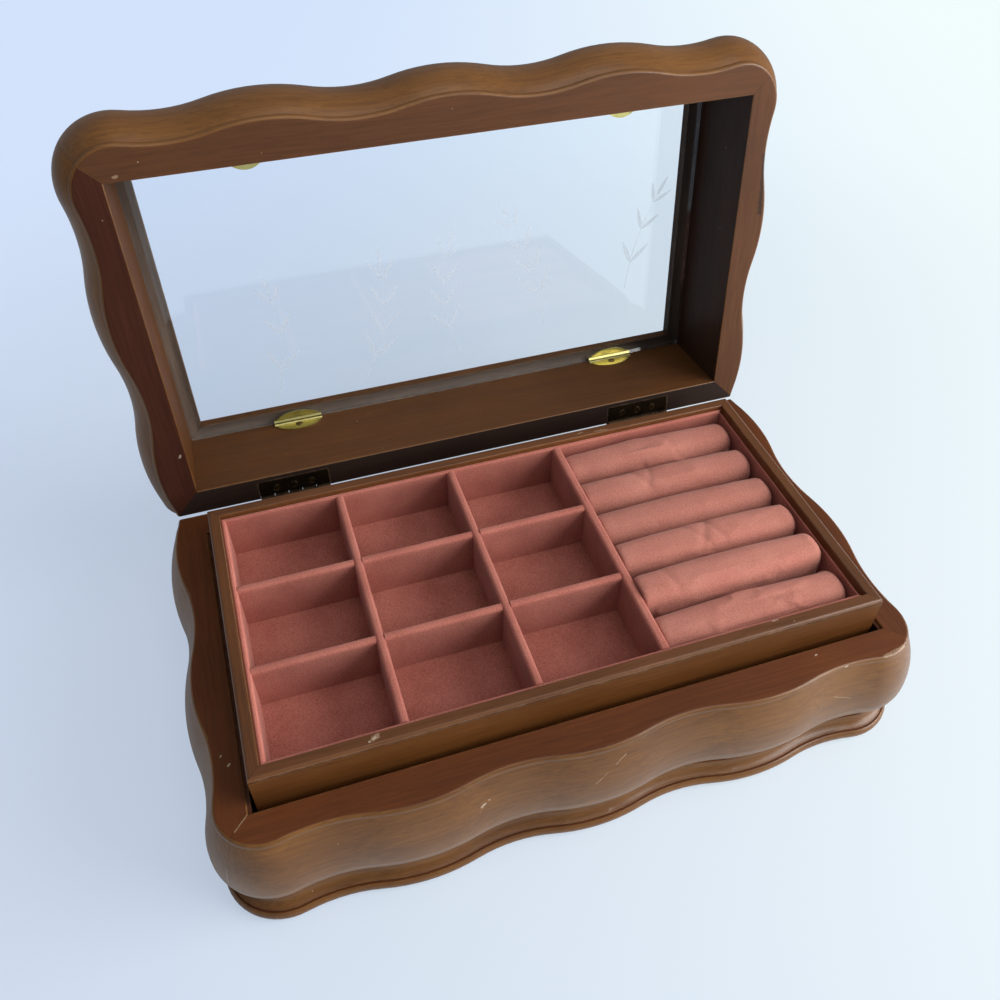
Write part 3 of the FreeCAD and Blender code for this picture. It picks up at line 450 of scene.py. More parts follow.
def separate_solids(name):
    """The separate solids of a CAD node, each as a list of corner points."""
    mesh = frame["nodes"][name].data
    owner = {}

    def root(key):
        while owner.setdefault(key, key) != key:
            key = owner[key]
        return key

    keys = [tuple(round(c / MM, 2) for c in v.co) for v in mesh.vertices]
    for edge in mesh.edges:
        first, second = (root(keys[v]) for v in edge.vertices)
        owner[first] = second
    solids = {}
    for key in sorted(set(keys)):
        solids.setdefault(root(key), []).append(Vector(key) * MM)
    return [solids[key] for key in sorted(solids)]


SCREW_HEAD = 1.7 * MM
SCREW_SHANK = 0.8 * MM
SCREW_SINK = 0.9 * MM
SCREW_LENGTH = 7.0 * MM
SCREW_DOME = 0.17 * MM
SLOT_WIDTH = 0.44 * MM
SLOT_DEPTH = 0.5 * MM
SLOT_REACH = 3 * SCREW_HEAD
SLOT_START = 25
SLOT_TURN = 67
RIM_BAND = 0.05 * MM
SCREW_SIDES = 40
SCREW_CREASE = 35


def slotted_screw():
    """A countersunk wood screw along -Z with a slot across its slightly domed head."""
    dome_shares = ((0.35, 0.92), (0.75, 0.55), (0.96, 0.08), (1.0, -0.6))
    rings = [(share * SCREW_HEAD, rise * SCREW_DOME) for share, rise in dome_shares]
    rings += [(SCREW_SHANK, -SCREW_SINK), (SCREW_SHANK, -SCREW_LENGTH)]
    shape = bmesh.new()
    crown = shape.verts.new((0, 0, SCREW_DOME))
    turns = [2 * math.pi * n / SCREW_SIDES for n in range(SCREW_SIDES)]
    loops = [[shape.verts.new((r * math.cos(a), r * math.sin(a), z)) for a in turns] for r, z in rings]
    for n in range(SCREW_SIDES):
        m = (n + 1) % SCREW_SIDES
        shape.faces.new((crown, loops[0][n], loops[0][m]))
        for outer, inner in zip(loops[1:], loops):
            shape.faces.new((inner[n], outer[n], outer[m], inner[m]))
    shape.faces.new(reversed(loops[-1]))
    blank = linked("screw_blank", drawn("screw_blank", shape))
    slot = bmesh.new()
    bmesh.ops.create_cube(slot, size=1.0)
    bmesh.ops.scale(slot, vec=(SLOT_REACH, SLOT_WIDTH, 2 * SLOT_DEPTH), verts=slot.verts)
    cutter = linked("screw_slot", drawn("screw_slot", slot))
    cut = blank.modifiers.new("slot", "BOOLEAN")
    cut.object = cutter
    cut.operation = "DIFFERENCE"
    return worked(blank, cutter)


screw_pattern = slotted_screw()


def screw_set(name, node, body, into, material):
    """Slotted screws in place of a node of plain ones. Into gives the way that a shank points."""
    shape = bmesh.new()
    for number, points in enumerate(separate_solids(node)):
        way = into(sum(points, Vector()) / len(points))
        face = min(p.dot(way) for p in points)
        rim = [p for p in points if p.dot(way) < face + RIM_BAND]
        middle = sum(rim, Vector()) / len(rim)
        turn = way.to_track_quat("-Z", "Y").to_matrix().to_4x4()
        spin = Matrix.Rotation(math.radians(SLOT_START + SLOT_TURN * number), 4, "Z")
        copy = screw_pattern.copy()
        copy.transform(Matrix.Translation(middle) @ turn @ spin)
        shape.from_mesh(copy)
        bpy.data.meshes.remove(copy)
    mesh = drawn(name, shape)
    smoothed(mesh, SCREW_CREASE)
    return shown(name, mesh, material, body, "brass", node)


lid_joint = next(joint for joint in frame["joints"] if joint["name"] == "lid_hinge")
HINGE_LINE = Vector(lid_joint["pos_m"])
lid_swing = Matrix.Rotation(-math.radians(lid_joint["range_deg"][1]), 4, "X")
lid_open = Matrix.Translation(HINGE_LINE) @ lid_swing @ Matrix.Translation(-HINGE_LINE)
lid_closing = lid_open.inverted()
lid_down = lid_swing @ Vector((0, 0, -1))
SCREW_TONES = ((0.26, 0.18, 0.09, 1.0), (0.05, 0.033, 0.022, 1.0))
screw_brass = brass_finish("screw_brass", *SCREW_TONES, polish=0.30, dulling=1.0)
screw_set("base_hinge_screws_slotted", "base_hinge_screws", "base", lambda p: -FACE_UP, screw_brass)
screw_set("lid_hinge_screws_slotted", "lid_hinge_screws", "lid", lambda p: -lid_down, screw_brass)


# Lid rails
# The lid frame repeats the serpentine moulding above the mating face, and its lip holds the pane.
# Painted shade darkens the rear and left mating faces and the inner walls, most of all the rear face
# and the right wall, and the right arris is bruised by knocks.
def closed_box(name):
    """The corners of a CAD node of the lid when the lid is shut."""
    points = [lid_closing @ v.co for v in frame["nodes"][name].data.vertices]
    low = Vector([min(p[axis] for p in points) for axis in range(3)])
    high = Vector([max(p[axis] for p in points) for axis in range(3)])
    return low, high


pane_low, pane_high = closed_box("lid_glass")
LIP_BAND = 1 * MM
LIP_HEIGHT = pane_low.z - LIP_BAND
# Dust on the lip behind the pane, greyed further as a painted reflection of the pane.
LIP_DUST_AND_REFLECTION = (0.150, 0.105, 0.076, 1.0)
LID_STAIN = (0.078, 0.0255, 0.0095, 1.0)
# Painted shade: shaded stain on inner walls, black on the rear face and right wall, plum on the left face.
SHADED_STAIN = (0.088, 0.029, 0.0060, 1.0)
SHADOW_BLACK_TONE = (0.014, 0.006, 0.0045, 1.0)
LEFT_SHADE_PLUM = (0.050, 0.0135, 0.0084, 1.0)
EVEN_SHARES = (STAIN_SHARE, STAIN_SHARE)
REAR_SHARES = (0.96, STAIN_SHARE)
LEFT_SHARES = (0.93, 0.96)
DULL = 0.10
LID_RAILS = {
    "front": (ALONG, (0.1, 0.3, 0.02), (0, 1, 0)),
    "rear": (ALONG, (0.8, 0.05, 0.06), (0, -1, 0)),
    "left": (ACROSS, (0.2, 0.4, 0.03), (1, 0, 0)),
    "right": (ACROSS, (0.5, 0.6, 0.05), (-1, 0, 0)),
}
LID_MARKS = {
    "front": [((-123.9, 99.3, 205.3), (-122.9, 99.2, 205.5), 0.7, WORN_WOOD_AND_GLINT)],
    "left": [((-130.9, 85.2, 85.8), (-130.4, 85.2, 86.8), 0.6, BARE_WOOD)],
    "right": [((137.6, 96.0, 178.0), (139.4, 93.0, 152.0), 1.3, GRIME_AND_SHADE)],
}


def lid_wood(side, tones, stain_shares=EVEN_SHARES, shine=SATIN):
    """The finish of one lid rail, with its grain followed through the swing of the lid. The tones and
    shares are those of its mating face and of its inner wall, which looks inward when the lid is shut;
    the shaded and black tones are painted shade. Dust, greyed further by a painted reflection of the
    pane, lies on the lip behind it."""
    turn, shift, inward = LID_RAILS[side]
    marks = LID_MARKS.get(side, ())
    flats = (
        (lid_down, tones[0], 0.0, stain_shares[0]),
        (lid_down, LIP_DUST_AND_REFLECTION, LIP_HEIGHT, STAIN_SHARE),
        (lid_swing @ Vector(inward), tones[1], 0.0, stain_shares[1]),
    )
    finish = stained_wood(
        f"lid_{side}_walnut", turn, shift, closing=lid_closing, flats=flats, marks=marks, shine=shine
    )
    finished([f"lid_{side}_rail"], finish)


lid_wood("front", (LID_STAIN, SHADED_STAIN))
# The rear, left and right rails take painted shade on their mating faces and inner walls.
lid_wood("rear", (SHADOW_BLACK_TONE, SHADED_STAIN), REAR_SHARES)
lid_wood("left", (LEFT_SHADE_PLUM, SHADED_STAIN), LEFT_SHARES, DULL)
lid_wood("right", (LID_STAIN, SHADOW_BLACK_TONE))

# Lid glass
# A clear float pane bedded in the rebate, faintly smeared by wiping. Leaf sprigs are lightly etched
# into its inner face, each leaf with two slopes like a wheel cut.
PANE_TINT = (0.90, 0.935, 0.96, 1.0)
SHADOW_TINT = (0.90, 0.93, 0.95, 1.0)
pane, tree, surface = new_finish("clear_pane")
place = add(tree, "ShaderNodeTexCoord").outputs["Object"]
wiped = speckle(tree, vector_of(tree, "MULTIPLY", place, (30.0, 30.0, 90.0)), 1.0, 3.0)
tree.links.new(scaled(tree, between(tree, wiped, 0.55, 0.75), 0.05), surface.inputs["Roughness"])
surface.inputs["Base Color"].default_value = PANE_TINT
surface.inputs["Transmission Weight"].default_value = 1.0
surface.inputs["IOR"].default_value = 1.46
clear = add(tree, "ShaderNodeBsdfTransparent", {"Color": SHADOW_TINT})
shade = add(tree, "ShaderNodeLightPath").outputs["Is Shadow Ray"]
mixed = add(tree, "ShaderNodeMixShader", {0: shade, 1: surface.outputs[0], 2: clear.outputs[0]})
tree.links.new(mixed.outputs[0], tree.nodes["Material Output"].inputs["Surface"])
finished(["lid_glass"], pane)

FROST_DIM = (0.72, 0.78, 0.85, 1.0)
FROST_PALE = (0.96, 0.98, 1.0, 1.0)
frosted, tree, surface = new_finish("etched_frost")
frost = speckle(tree, add(tree, "ShaderNodeTexCoord").outputs["Object"], 2600.0, 2.0)
tree.links.new(tinted(tree, frost, FROST_DIM, FROST_PALE), surface.inputs["Base Color"])
tree.links.new(sum_of(tree, "ADD", scaled(tree, frost, 0.3), 0.35), surface.inputs["Roughness"])
tree.links.new(sum_of(tree, "ADD", scaled(tree, frost, 0.30), 0.10), surface.inputs["Alpha"])

ETCH_RISE = 0.05 * MM
ETCH_GAP = 0.02 * MM
LEAF_STEPS = 8
LEAF_SLIM_SHARE = 0.17
LEAF_ANGLE = 34
LEAF_LOSS_SHARE = 0.3
TIP_LEAF_SHARE = 0.8
FIRST_PAIR_SHARE = 0.30
PAIRS_SHARE = 0.62
STEM_WIDTH = 0.5 * MM
STEM_LOSS_SHARE = 0.6
STEM_STEPS = 14


def etched_leaf(shape, foot, way, length):
    """A slim leaf with a raised midrib, flat on the pane."""
    across = Vector((-way.y, way.x, 0)) * length * LEAF_SLIM_SHARE / 2
    rows = []
    for step in range(LEAF_STEPS + 1):
        share = step / LEAF_STEPS
        half = across * math.sin(math.pi * share ** 0.8) ** 0.9 if 0 < step < LEAF_STEPS else Vector()
        spine = foot + way * length * share
        rise = Vector((0, 0, -ETCH_RISE)) * math.sin(math.pi * share)
        rows.append([shape.verts.new(p) for p in (spine - half, spine + rise, spine + half)])
    for first, second in zip(rows, rows[1:]):
        for n in range(2):
            shape.faces.new((first[n], first[n + 1], second[n + 1], second[n]))


def etched_stem(shape, points):
    """A thin cut line along the points."""
    rows = []
    for n, point in enumerate(points):
        before = points[max(n - 1, 0)]
        after = points[min(n + 1, len(points) - 1)]
        way = (after - before).normalized()
        half = Vector((-way.y, way.x, 0)) * STEM_WIDTH / 2 * (1 - STEM_LOSS_SHARE * n / len(points))
        rows.append([shape.verts.new(p) for p in (point - half, point + half)])
    for first, second in zip(rows, rows[1:]):
        shape.faces.new((first[0], first[1], second[1], second[0]))


def etched_sprig(shape, foot, degrees, bend, length, pairs, leaf):
    """A bent stem with leaves in pairs and one at its tip. Degrees turn from the pane's length."""
    points = []
    ways = []
    spot = foot.copy()
    for step in range(STEM_STEPS + 1):
        angle = math.radians(degrees + bend * step / STEM_STEPS)
        ways.append(Vector((math.cos(angle), -math.sin(angle), 0)))
        points.append(spot.copy())
        spot += ways[-1] * length / STEM_STEPS
    etched_stem(shape, points)
    for pair in range(pairs):
        step = round(STEM_STEPS * (FIRST_PAIR_SHARE + PAIRS_SHARE * pair / max(pairs - 1, 1)))
        for hand in (-1, 1):
            turn = Matrix.Rotation(math.radians(LEAF_ANGLE * hand), 3, "Z")
            size = leaf * (1 - LEAF_LOSS_SHARE * pair / pairs)
            etched_leaf(shape, points[step], turn @ ways[step], size)
    etched_leaf(shape, points[-1], ways[-1], leaf * TIP_LEAF_SHARE)


pane_span = pane_high - pane_low
SPRIGS = (
    ((0.17, 0.90), 70, 30, 54 * MM, 3, 13 * MM),
    ((0.33, 0.92), 58, 36, 62 * MM, 4, 15 * MM),
    ((0.53, 0.86), 112, -40, 56 * MM, 4, 14 * MM),
    ((0.70, 0.80), 96, 22, 58 * MM, 4, 15 * MM),
    ((0.87, 0.72), 84, -24, 48 * MM, 3, 13 * MM),
)
shape = bmesh.new()
for (right_share, rear_share), degrees, bend, length, pairs, leaf in SPRIGS:
    foot = Vector((pane_low.x + right_share * pane_span.x, pane_low.y + rear_share * pane_span.y, 0))
    foot.z = pane_low.z - ETCH_GAP
    etched_sprig(shape, foot, degrees, bend, length, pairs, leaf)
shape.transform(lid_open)
shown("etched_sprigs", drawn("etched_sprigs", shape), frosted, "lid", "glass")

# Glass clips
# Four pressed brass angles with two ribs along the fold. A half-round leg lies on the pane and another
# is screwed to the rail. The front clips reach further over the pane.
CLIP_SHEET = 0.6 * MM
SHEET_PLAY = 0.05 * MM
CLIP_CREASE = 50
RIB_END = 2.6 * MM
RIB_CLEAR_SHARE = 1.02
RIB_RISE = 0.70 * MM
RIB_STEPS = 6
LEG_STEPS = 5
CLIP_STATIONS = 48


def clip_section(pane_reach, wall_reach):
    """Half of the section each way from the fold: how far from the wall and from the pane."""
    def leg(reach):
        points = []
        for step in range(1, RIB_STEPS + 1):
            share = step / RIB_STEPS
            bump = RIB_RISE * math.sin(math.pi * share) ** 2
            points.append((CLIP_SHEET + (RIB_END - CLIP_SHEET) * share, CLIP_SHEET + bump))
        for step in range(1, LEG_STEPS + 1):
            points.append((RIB_END + (reach - RIB_END) * step / LEG_STEPS, CLIP_SHEET))
        return points

    on_pane = list(reversed(leg(pane_reach)))
    on_wall = [(lift, out) for out, lift in leg(wall_reach)]
    return on_pane + [(CLIP_SHEET, CLIP_SHEET)] + on_wall


def pressed_clip(node):
    """One clip, where its CAD node is, as it stands with the lid shut."""
    low, high = closed_box(node)
    front = low.y < 0
    half = (high.x - low.x) / 2
    shape = bmesh.new()
    rows = []
    for station in range(CLIP_STATIONS + 1):
        along = -math.cos(math.pi * station / CLIP_STATIONS)
        round_share = math.sqrt(max(1 - along ** 2, 0))
        shortest = RIB_CLEAR_SHARE * RIB_END
        reaches = [max(leg * round_share, shortest) for leg in (high.y - low.y, high.z - low.z)]
        x = (low.x + high.x) / 2 + along * half
        row = []
        for out, lift in clip_section(*reaches):
            y = low.y + out if front else high.y - out
            row.append(shape.verts.new((x, y, high.z - lift)))
        rows.append(row)
    for first, second in zip(rows, rows[1:]):
        for n in range(len(first) - 1):
            corners = (first[n], first[n + 1], second[n + 1], second[n])
            shape.faces.new(reversed(corners) if front else corners)
    shape.transform(lid_open)
    blank = linked("clip_blank", drawn("clip_blank", shape))
    sheet = blank.modifiers.new("sheet", "SOLIDIFY")
    sheet.thickness = CLIP_SHEET - SHEET_PLAY
    sheet.offset = -1.0
    mesh = worked(blank)
    smoothed(mesh, CLIP_CREASE)
    return mesh


CLIP_TONES = ((0.70, 0.62, 0.24, 1.0), (0.36, 0.30, 0.09, 1.0))
clip_brass = brass_finish("clip_brass", *CLIP_TONES, polish=0.24, dulling=0.5)
for row in ("front", "rear"):
    for hand in ("left", "right"):
        node = f"{row}_{hand}_glass_clip"
        shown(f"{row}_{hand}_clip_pressed", pressed_clip(node), clip_brass, "lid", "brass", node)


def toward_rail(point):
    """The way that a clip's screw points: forwards into the front rail or back into the rear one."""
    ahead = lid_swing @ Vector((0, -1, 0))
    return ahead if (lid_closing @ point).y < 0 else -ahead


screw_set("clip_screws_slotted", "clip_screws", "lid", toward_rail, screw_brass)

# Tray walls
# Thin mitred boards in a redder coat of the stain, with a bead along the outer rim that has chips.
# The floor board between them is stained as dark as the ledges.
TRAY_TONES = ((0.080, 0.0250, 0.0060, 1.0), (0.215, 0.0780, 0.0175, 1.0))
FRONT_CHIPS = [
    ((-81.2, -63.4, 70.0), (-79.4, -62.6, 70.0), 1.2, WORN_WOOD_AND_GLINT),
    ((-80.6, -63.3, 70.0), (-80.0, -63.0, 70.0), 0.7, BARE_WOOD),
    ((-82.6, -64.2, 70.0), (-82.2, -64.0, 70.0), 0.4, BARE_WOOD),
    ((77.6, -61.4, 69.9), (79.6, -61.2, 69.9), 0.6, BARE_WOOD),
]
REAR_CHIPS = [
    ((45.8, 63.2, 70.0), (48.2, 63.6, 70.0), 0.4, WORN_WOOD_AND_GLINT),
    ((54.0, 62.4, 70.0), (60.0, 62.0, 70.0), 0.35, WORN_WOOD_AND_GLINT),
]
RIM_STAIN = (0.125, 0.045, 0.015, 1.0)
TRAY_RIM = ((FACE_UP, RIM_STAIN, 0.0, STAIN_SHARE),)
TRAY_WALLS = {
    "front": (ALONG, (0.15, 0.5, 0.01), FRONT_CHIPS),
    "rear": (ALONG, (0.45, 0.35, 0.03), REAR_CHIPS),
    "left": (ACROSS, (0.25, 0.55, 0.05), ()),
    "right": (ACROSS, (0.65, 0.25, 0.07), ()),
}
for side, (turn, shift, chips) in TRAY_WALLS.items():
    finish = stained_wood(f"tray_{side}_walnut", turn, shift, TRAY_TONES, flats=TRAY_RIM, marks=chips)
    finished([f"tray_{side}_wall"], finish)
finished(["tray_floor_board"], inner_wood)


# Tray lining and dividers
# Card and thin boards covered in dusty pink flock, whose nap is brushed in patches. The cards are
# glued to the walls and floors, and the dividers are halved into each other.
def nap_group():
    """Flock: fibre grain, and patches where the nap lies another way."""
    tree, given, put = new_group(
        "flock_nap",
        {"Vector": "Vector", "Deep": "Color", "Bright": "Color"},
        {"Color": "Color", "Height": "Float"},
    )
    fibre = speckle(tree, given["Vector"], 1900.0, 3.0, 0.8)
    brushed = speckle(tree, given["Vector"], 60.0, 2.0)
    tone = sum_of(tree, "ADD", scaled(tree, fibre, 1.25), scaled(tree, brushed, 0.45))
    colour = tinted(tree, between(tree, tone, 0.45, 1.25), given["Deep"], given["Bright"])
    tree.links.new(colour, put["Color"])
    tree.links.new(fibre, put["Height"])
    return tree


flock_nap = nap_group()
FLOCK_DEEP = (0.285, 0.079, 0.058, 1.0)
FLOCK_BRIGHT = (0.580, 0.220, 0.165, 1.0)
SHEEN_TINT = (0.95, 0.72, 0.66, 1.0)
NAP_DEPTH = 0.35 * MM
TOP_LOW = 64.0 * MM
TOP_HIGH = 69.0 * MM
TOP_DEEP_SHARE = 1.45
TOP_BRIGHT_SHARE = 1.15


def flock_finish(name, deep, bright):
    """Velvet flock, made paler near the tray's rim as painted light on the tops, with a pale sheen at
    grazing angles.
    """
    material, tree, surface = new_finish(name)
    place = add(tree, "ShaderNodeTexCoord").outputs["Object"]
    height = add(tree, "ShaderNodeSeparateXYZ", {0: place}).outputs["Z"]
    # Painted light: the flock is made paler toward the rim, where the tops catch the light.
    top = between(tree, height, TOP_LOW, TOP_HIGH)
    paler_deep = tinted(tree, top, deep, shaded(deep, TOP_DEEP_SHARE))
    paler_bright = tinted(tree, top, bright, shaded(bright, TOP_BRIGHT_SHARE))
    nap = placed(tree, flock_nap, Vector=place, Deep=paler_deep, Bright=paler_bright)
    tree.links.new(nap["Color"], surface.inputs["Base Color"])
    relief = add(tree, "ShaderNodeBump", {"Height": nap["Height"], "Strength": 0.6, "Distance": NAP_DEPTH})
    tree.links.new(relief.outputs[0], surface.inputs["Normal"])
    surface.inputs["Roughness"].default_value = 1.0
    surface.inputs["Specular IOR Level"].default_value = 0.1
    surface.inputs["Sheen Weight"].default_value = 0.32
    surface.inputs["Sheen Roughness"].default_value = 0.4
    surface.inputs["Sheen Tint"].default_value = SHEEN_TINT
    return material


pink_flock = flock_finish("pink_flock", FLOCK_DEEP, FLOCK_BRIGHT)
finished(
    [f"tray_{side}_lining" for side in ("front", "rear", "floor")]
    + ["front_long_divider", "rear_long_divider", "left_cross_divider", "right_cross_divider"]
    + ["ring_partition", "well_floor_lining"],
    pink_flock,
)

# Painted light: the end linings take a lighter copy of the flock, as they catch the light.
LIT_DEEP_SHARE = 1.35
LIT_BRIGHT_SHARE = 1.30
lit_flock = flock_finish(
    "lit_flock", shaded(FLOCK_DEEP, LIT_DEEP_SHARE), shaded(FLOCK_BRIGHT, LIT_BRIGHT_SHARE)
)
finished(["tray_left_lining", "tray_right_lining"], lit_flock)

# Ring rolls
# Six foam rolls wrapped in the same flocked cloth, in a lighter copy of its colours as painted light,
# and glued side by side on the tray floor. The wrap is slack enough to pucker a little, and the rolls
# press against each other.
ROLL_COUNT = 6
ROLL_VOXEL = 1.3 * MM
ROLL_SLACK_SHARE = 0.985
ROLL_SWELL = 0.6 * MM
ROLL_LUMP = 0.16 * MM
GLUED_BAND = 1.2 * MM
WRAP_FRAMES = 20
roll_boxes = [[Vector(corner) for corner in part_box(f"ring_roll_{n}")] for n in range(1, ROLL_COUNT + 1)]
ROLL_PITCH = (roll_boxes[0][0].y - roll_boxes[-1][0].y) / (ROLL_COUNT - 1)
PUCKERS = {2: ((0.33, 0.5), (0.38, -0.4)), 4: ((0.42, 0.6), (0.47, -0.5), (0.53, 0.4)), 5: ((0.16, 0.3),)}
PUCKER_DEPTH = 0.5 * MM
PUCKER_WIDTH = 1.5 * MM
SIDE_SHARE = 0.88
NEIGHBOUR_GAP = 0.1 * MM
END_PLAY = 0.2 * MM
LUMPS_PER_METRE = 130
ALL_ROUND = 180
ROLL_FULLNESS = 2.5
ROLL_TUCK = 4.0 * MM
ROLL_TUCK_REACH = 0.8 * MM


def roll_blank(number):
    """The roll remeshed evenly, with full shoulders and its left end pushed up to the partition, and
    drawn in a little, ready to be stuffed."""
    low, high = roll_boxes[number - 1]
    blank = linked("roll_blank", frame["nodes"][f"ring_roll_{number}"].data.copy())
    even = blank.modifiers.new("even", "REMESH")
    even.mode = "VOXEL"
    even.voxel_size = ROLL_VOXEL
    mesh = worked(blank)
    middle = (low.y + high.y) / 2
    axis = high.z - (high.y - low.y) / 2
    for vert in mesh.vertices:
        off = Vector((vert.co.y - middle, vert.co.z - axis))
        if off.y > 0 and off.length > 0:
            parts = [abs(part) / off.length for part in off]
            off /= sum(part ** ROLL_FULLNESS for part in parts) ** (1 / ROLL_FULLNESS)
        tucked = max(1 - (vert.co.x - low.x) / ROLL_TUCK, 0) ** 2
        vert.co.x -= ROLL_TUCK_REACH * tucked
        vert.co.y = middle + off.x * ROLL_SLACK_SHARE
        vert.co.z = low.z + (axis + off.y - low.z) * ROLL_SLACK_SHARE
    return linked("roll_wrap", mesh)


def stuffed(rolls):
    """Swell the wraps with pressure from inside. Their undersides are glued down."""
    for box, roll in zip(roll_boxes, rolls):
        glued = roll.vertex_groups.new(name="glued")
        under = [v.index for v in roll.data.vertices if v.co.z < box[0].z + GLUED_BAND]
        glued.add(under, 1.0, "REPLACE")
        wrap = roll.modifiers.new("wrap", "CLOTH")
        wrap.settings.quality = 5
        wrap.settings.mass = 0.2
        wrap.settings.tension_stiffness = 12.0
        wrap.settings.compression_stiffness = 12.0
        wrap.settings.bending_stiffness = 0.05
        wrap.settings.use_pressure = True
        wrap.settings.uniform_pressure_force = 4.0
        wrap.settings.shrink_min = -0.04
        wrap.settings.vertex_group_mass = "glued"
        wrap.settings.effector_weights.gravity = 0.0
        wrap.collision_settings.use_collision = False
        wrap.point_cache.frame_end = WRAP_FRAMES
    for step in range(1, WRAP_FRAMES + 1):
        bpy.context.scene.frame_set(step)


def roll_surface(number, start, mesh):
    """Hold the swollen wrap to its place between its neighbours, and add its lumps and puckers."""
    low, high = roll_boxes[number - 1]
    middle = (low.y + high.y) / 2
    reach = ROLL_PITCH / 2 - NEIGHBOUR_GAP
    for vert, old in zip(mesh.vertices, start):
        moved = vert.co - old
        if moved.length > ROLL_SWELL:
            moved *= ROLL_SWELL / moved.length
        spot = old + moved
        height_share = (spot.z - low.z) / (high.z - low.z)
        lump = ROLL_LUMP * noise.noise(spot * LUMPS_PER_METRE + Vector((0, 0, number))) * height_share
        along_share = (spot.x - low.x) / (high.x - low.x)
        for place_share, lean in PUCKERS.get(number, ()):
            off = (along_share - place_share) * (high.x - low.x) + lean * (spot.y - middle)
            lump -= PUCKER_DEPTH * math.exp(-((off / PUCKER_WIDTH) ** 2)) * height_share ** 3
        spot.z += lump
        off = (spot.y - middle) / reach
        if abs(off) > SIDE_SHARE:
            pressed = math.tanh((abs(off) - SIDE_SHARE) / (1 - SIDE_SHARE)) * (1 - SIDE_SHARE)
            spot.y = middle + math.copysign(SIDE_SHARE + pressed, off) * reach
        spot.x = min(max(spot.x, low.x - END_PLAY), high.x + END_PLAY)
        spot.z = max(spot.z, low.z)
        vert.co = spot
    smoothed(mesh, ALL_ROUND)
    return mesh


# Painted light: the rolls' colours are a lighter copy of the flock's, for their crowns in the light.
ROLL_DEEP = (0.340, 0.112, 0.083, 1.0)
ROLL_BRIGHT = (0.600, 0.255, 0.192, 1.0)
roll_velvet = flock_finish("roll_velvet", ROLL_DEEP, ROLL_BRIGHT)
wraps = [roll_blank(number) for number in range(1, ROLL_COUNT + 1)]
wrap_starts = [[v.co.copy() for v in wrap.data.vertices] for wrap in wraps]
stuffed(wraps)
for number, (wrap, start) in enumerate(zip(wraps, wrap_starts), start=1):
    mesh = roll_surface(number, start, worked(wrap))
    node = f"ring_roll_{number}"
    roll = shown(f"{node}_padded", mesh, roll_velvet, "tray", "roll_cover", node)
    finer = roll.modifiers.new("finer", "SUBSURF")
    finer.levels = 1
    finer.render_levels = 1
bpy.context.scene.frame_set(1)

# Setting
# A plain pale floor under soft daylight from the right, seen as in the photograph. Away from the
# object, the floor and the sky show as a pale backdrop, and near it the floor keeps a soft shadow.
FLOOR_SPAN = 12.0
DAYLIGHT_WAY = (0.95, -0.32, 0.0)
SWEEP_SPAN = (-0.30, 0.50)
SHADOW_SPAN = (0.2, 0.65)
BACKDROP_NEAR_SHARE = 0.60
BACKDROP_GAIN_SHARE = 0.40
shape = bmesh.new()
bmesh.ops.create_grid(shape, x_segments=1, y_segments=1, size=FLOOR_SPAN)
floor = linked("floor", drawn("floor", shape))
pale, tree, surface = new_finish("pale_floor")
place = add(tree, "ShaderNodeTexCoord").outputs["Object"]
rightward = vector_of(tree, "DOT_PRODUCT", place, DAYLIGHT_WAY, "Value")
sweep = between(tree, rightward, *SWEEP_SPAN)
# Painted light: the backdrop goes from bluish grey on the left to near white on the right as the daylight
# falls off, and the floor colour is made lighter and bluer on the left.
FLOOR_LEFT = (0.88, 0.93, 0.99, 1.0)
FLOOR_RIGHT = (0.76, 0.83, 0.83, 1.0)
BACKDROP_LEFT = (0.65, 0.765, 0.965, 1.0)
BACKDROP_RIGHT = (0.88, 0.975, 0.985, 1.0)
tree.links.new(tinted(tree, sweep, FLOOR_LEFT, FLOOR_RIGHT), surface.inputs["Base Color"])
away = add(tree, "ShaderNodeVectorMath", {0: place}, operation="LENGTH").outputs["Value"]
paleness = scaled(tree, between(tree, away, *SHADOW_SPAN), BACKDROP_GAIN_SHARE)
paleness = sum_of(tree, "ADD", paleness, BACKDROP_NEAR_SHARE)
rays = add(tree, "ShaderNodeLightPath").outputs
seen = sum_of(tree, "MAXIMUM", rays["Is Camera Ray"], rays["Is Transmission Ray"])
backdrop = add(tree, "ShaderNodeEmission", {"Color": tinted(tree, sweep, BACKDROP_LEFT, BACKDROP_RIGHT)})
paleness = sum_of(tree, "MULTIPLY", paleness, seen)
mixed = add(tree, "ShaderNodeMixShader", {0: paleness, 1: surface.outputs[0], 2: backdrop.outputs[0]})
tree.links.new(mixed.outputs[0], tree.nodes["Material Output"].inputs["Surface"])
surface.inputs["Roughness"].default_value = 0.75
floor.data.materials.append(pale)

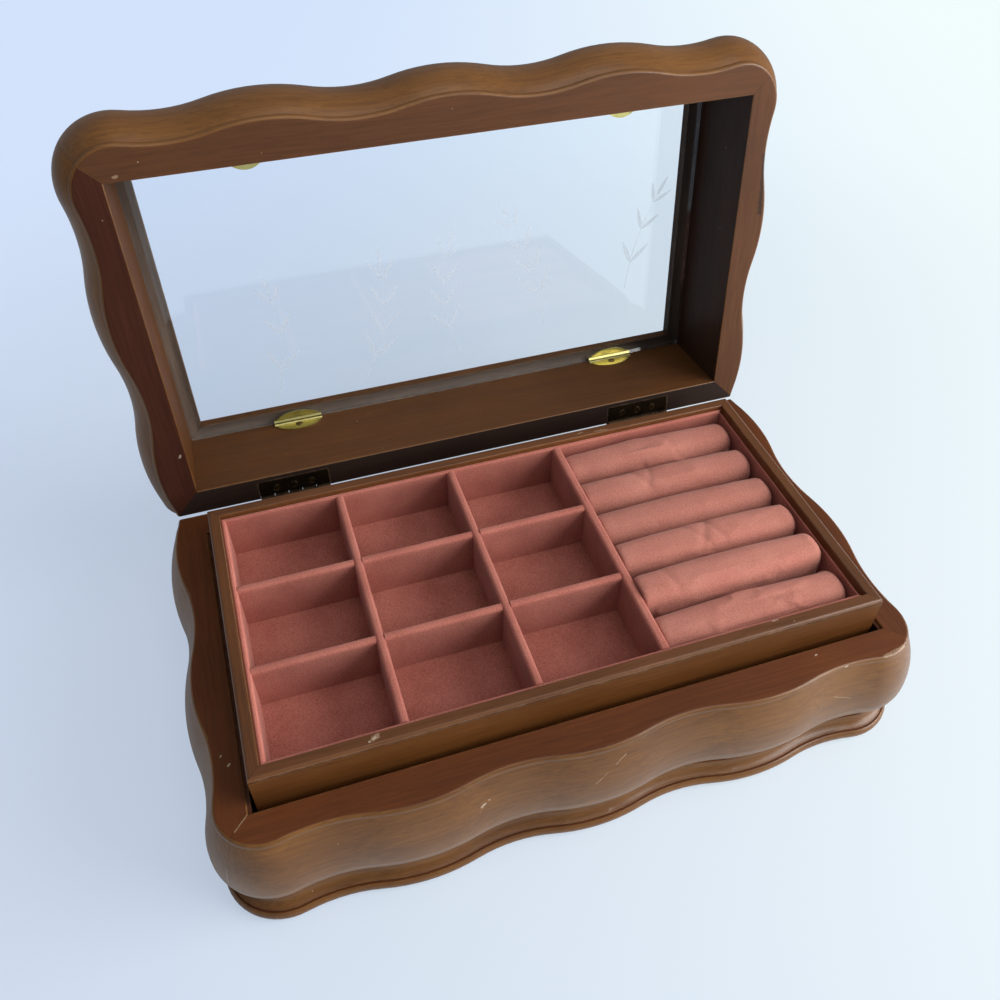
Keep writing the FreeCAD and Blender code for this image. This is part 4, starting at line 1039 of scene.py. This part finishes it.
SKY_TINT = (0.86, 0.92, 1.0, 1.0)
PALE_SKY_TINT = (0.72, 0.83, 0.97, 1.0)
world = bpy.data.worlds.new("studio")
bpy.context.scene.world = world
world.use_nodes = True
tree = world.node_tree
dim_sky = tree.nodes["Background"]
dim_sky.inputs["Color"].default_value = SKY_TINT
dim_sky.inputs["Strength"].default_value = 0.26
pale_sky = add(tree, "ShaderNodeBackground", {"Color": PALE_SKY_TINT})
seen = add(tree, "ShaderNodeLightPath").outputs["Is Camera Ray"]
mixed = add(tree, "ShaderNodeMixShader", {0: seen, 1: dim_sky.outputs[0], 2: pale_sky.outputs[0]})
tree.links.new(mixed.outputs[0], tree.nodes["World Output"].inputs["Surface"])


def soft_lamp(name, place, target, span, power):
    """A large square lamp aimed at a point."""
    data = bpy.data.lights.new(name, "AREA")
    data.size = span
    data.energy = power
    lamp = bpy.data.objects.new(name, data)
    bpy.context.scene.collection.objects.link(lamp)
    lamp.location = place
    lamp.rotation_euler = (Vector(target) - Vector(place)).to_track_quat("-Z", "Y").to_euler()


LAMP_TARGET = (0, 0, 0.06)
WINDOW_PLACE = (0.82, -0.46, 0.48)
WINDOW_SPAN = 0.8
WINDOW_POWER = 12.5
FILL_PLACE = (0.25, -0.3, 1.3)
FILL_SPAN = 0.9
FILL_POWER = 3.5
soft_lamp("window_lamp", WINDOW_PLACE, LAMP_TARGET, WINDOW_SPAN, WINDOW_POWER)
soft_lamp("fill_lamp", FILL_PLACE, LAMP_TARGET, FILL_SPAN, FILL_POWER)

SENSOR_WIDTH = 36.0
LENS = 33.01
camera_data = bpy.data.cameras.new("camera")
camera = bpy.data.objects.new("camera", camera_data)
bpy.context.scene.collection.objects.link(camera)
camera_data.sensor_width = SENSOR_WIDTH
camera_data.lens = LENS
VIEW_POINT = Vector((-5.33, 25.25, 78.65)) * MM
VIEW_DISTANCE = 388.44 * MM
VIEW_AZIMUTH = math.radians(-18.6)
VIEW_ELEVATION = math.radians(45.82)
VIEW_ROLL = math.radians(0.5)
back = Vector((
    math.sin(VIEW_AZIMUTH) * math.cos(VIEW_ELEVATION),
    -math.cos(VIEW_AZIMUTH) * math.cos(VIEW_ELEVATION),
    math.sin(VIEW_ELEVATION),
))
camera.location = VIEW_POINT + back * VIEW_DISTANCE
upright = back.to_track_quat("Z", "Y").to_matrix()
camera.rotation_euler = (upright @ Matrix.Rotation(VIEW_ROLL, 3, "Z")).to_euler()
bpy.context.scene.camera = camera
bpy.context.scene.view_settings.view_transform = "Standard"
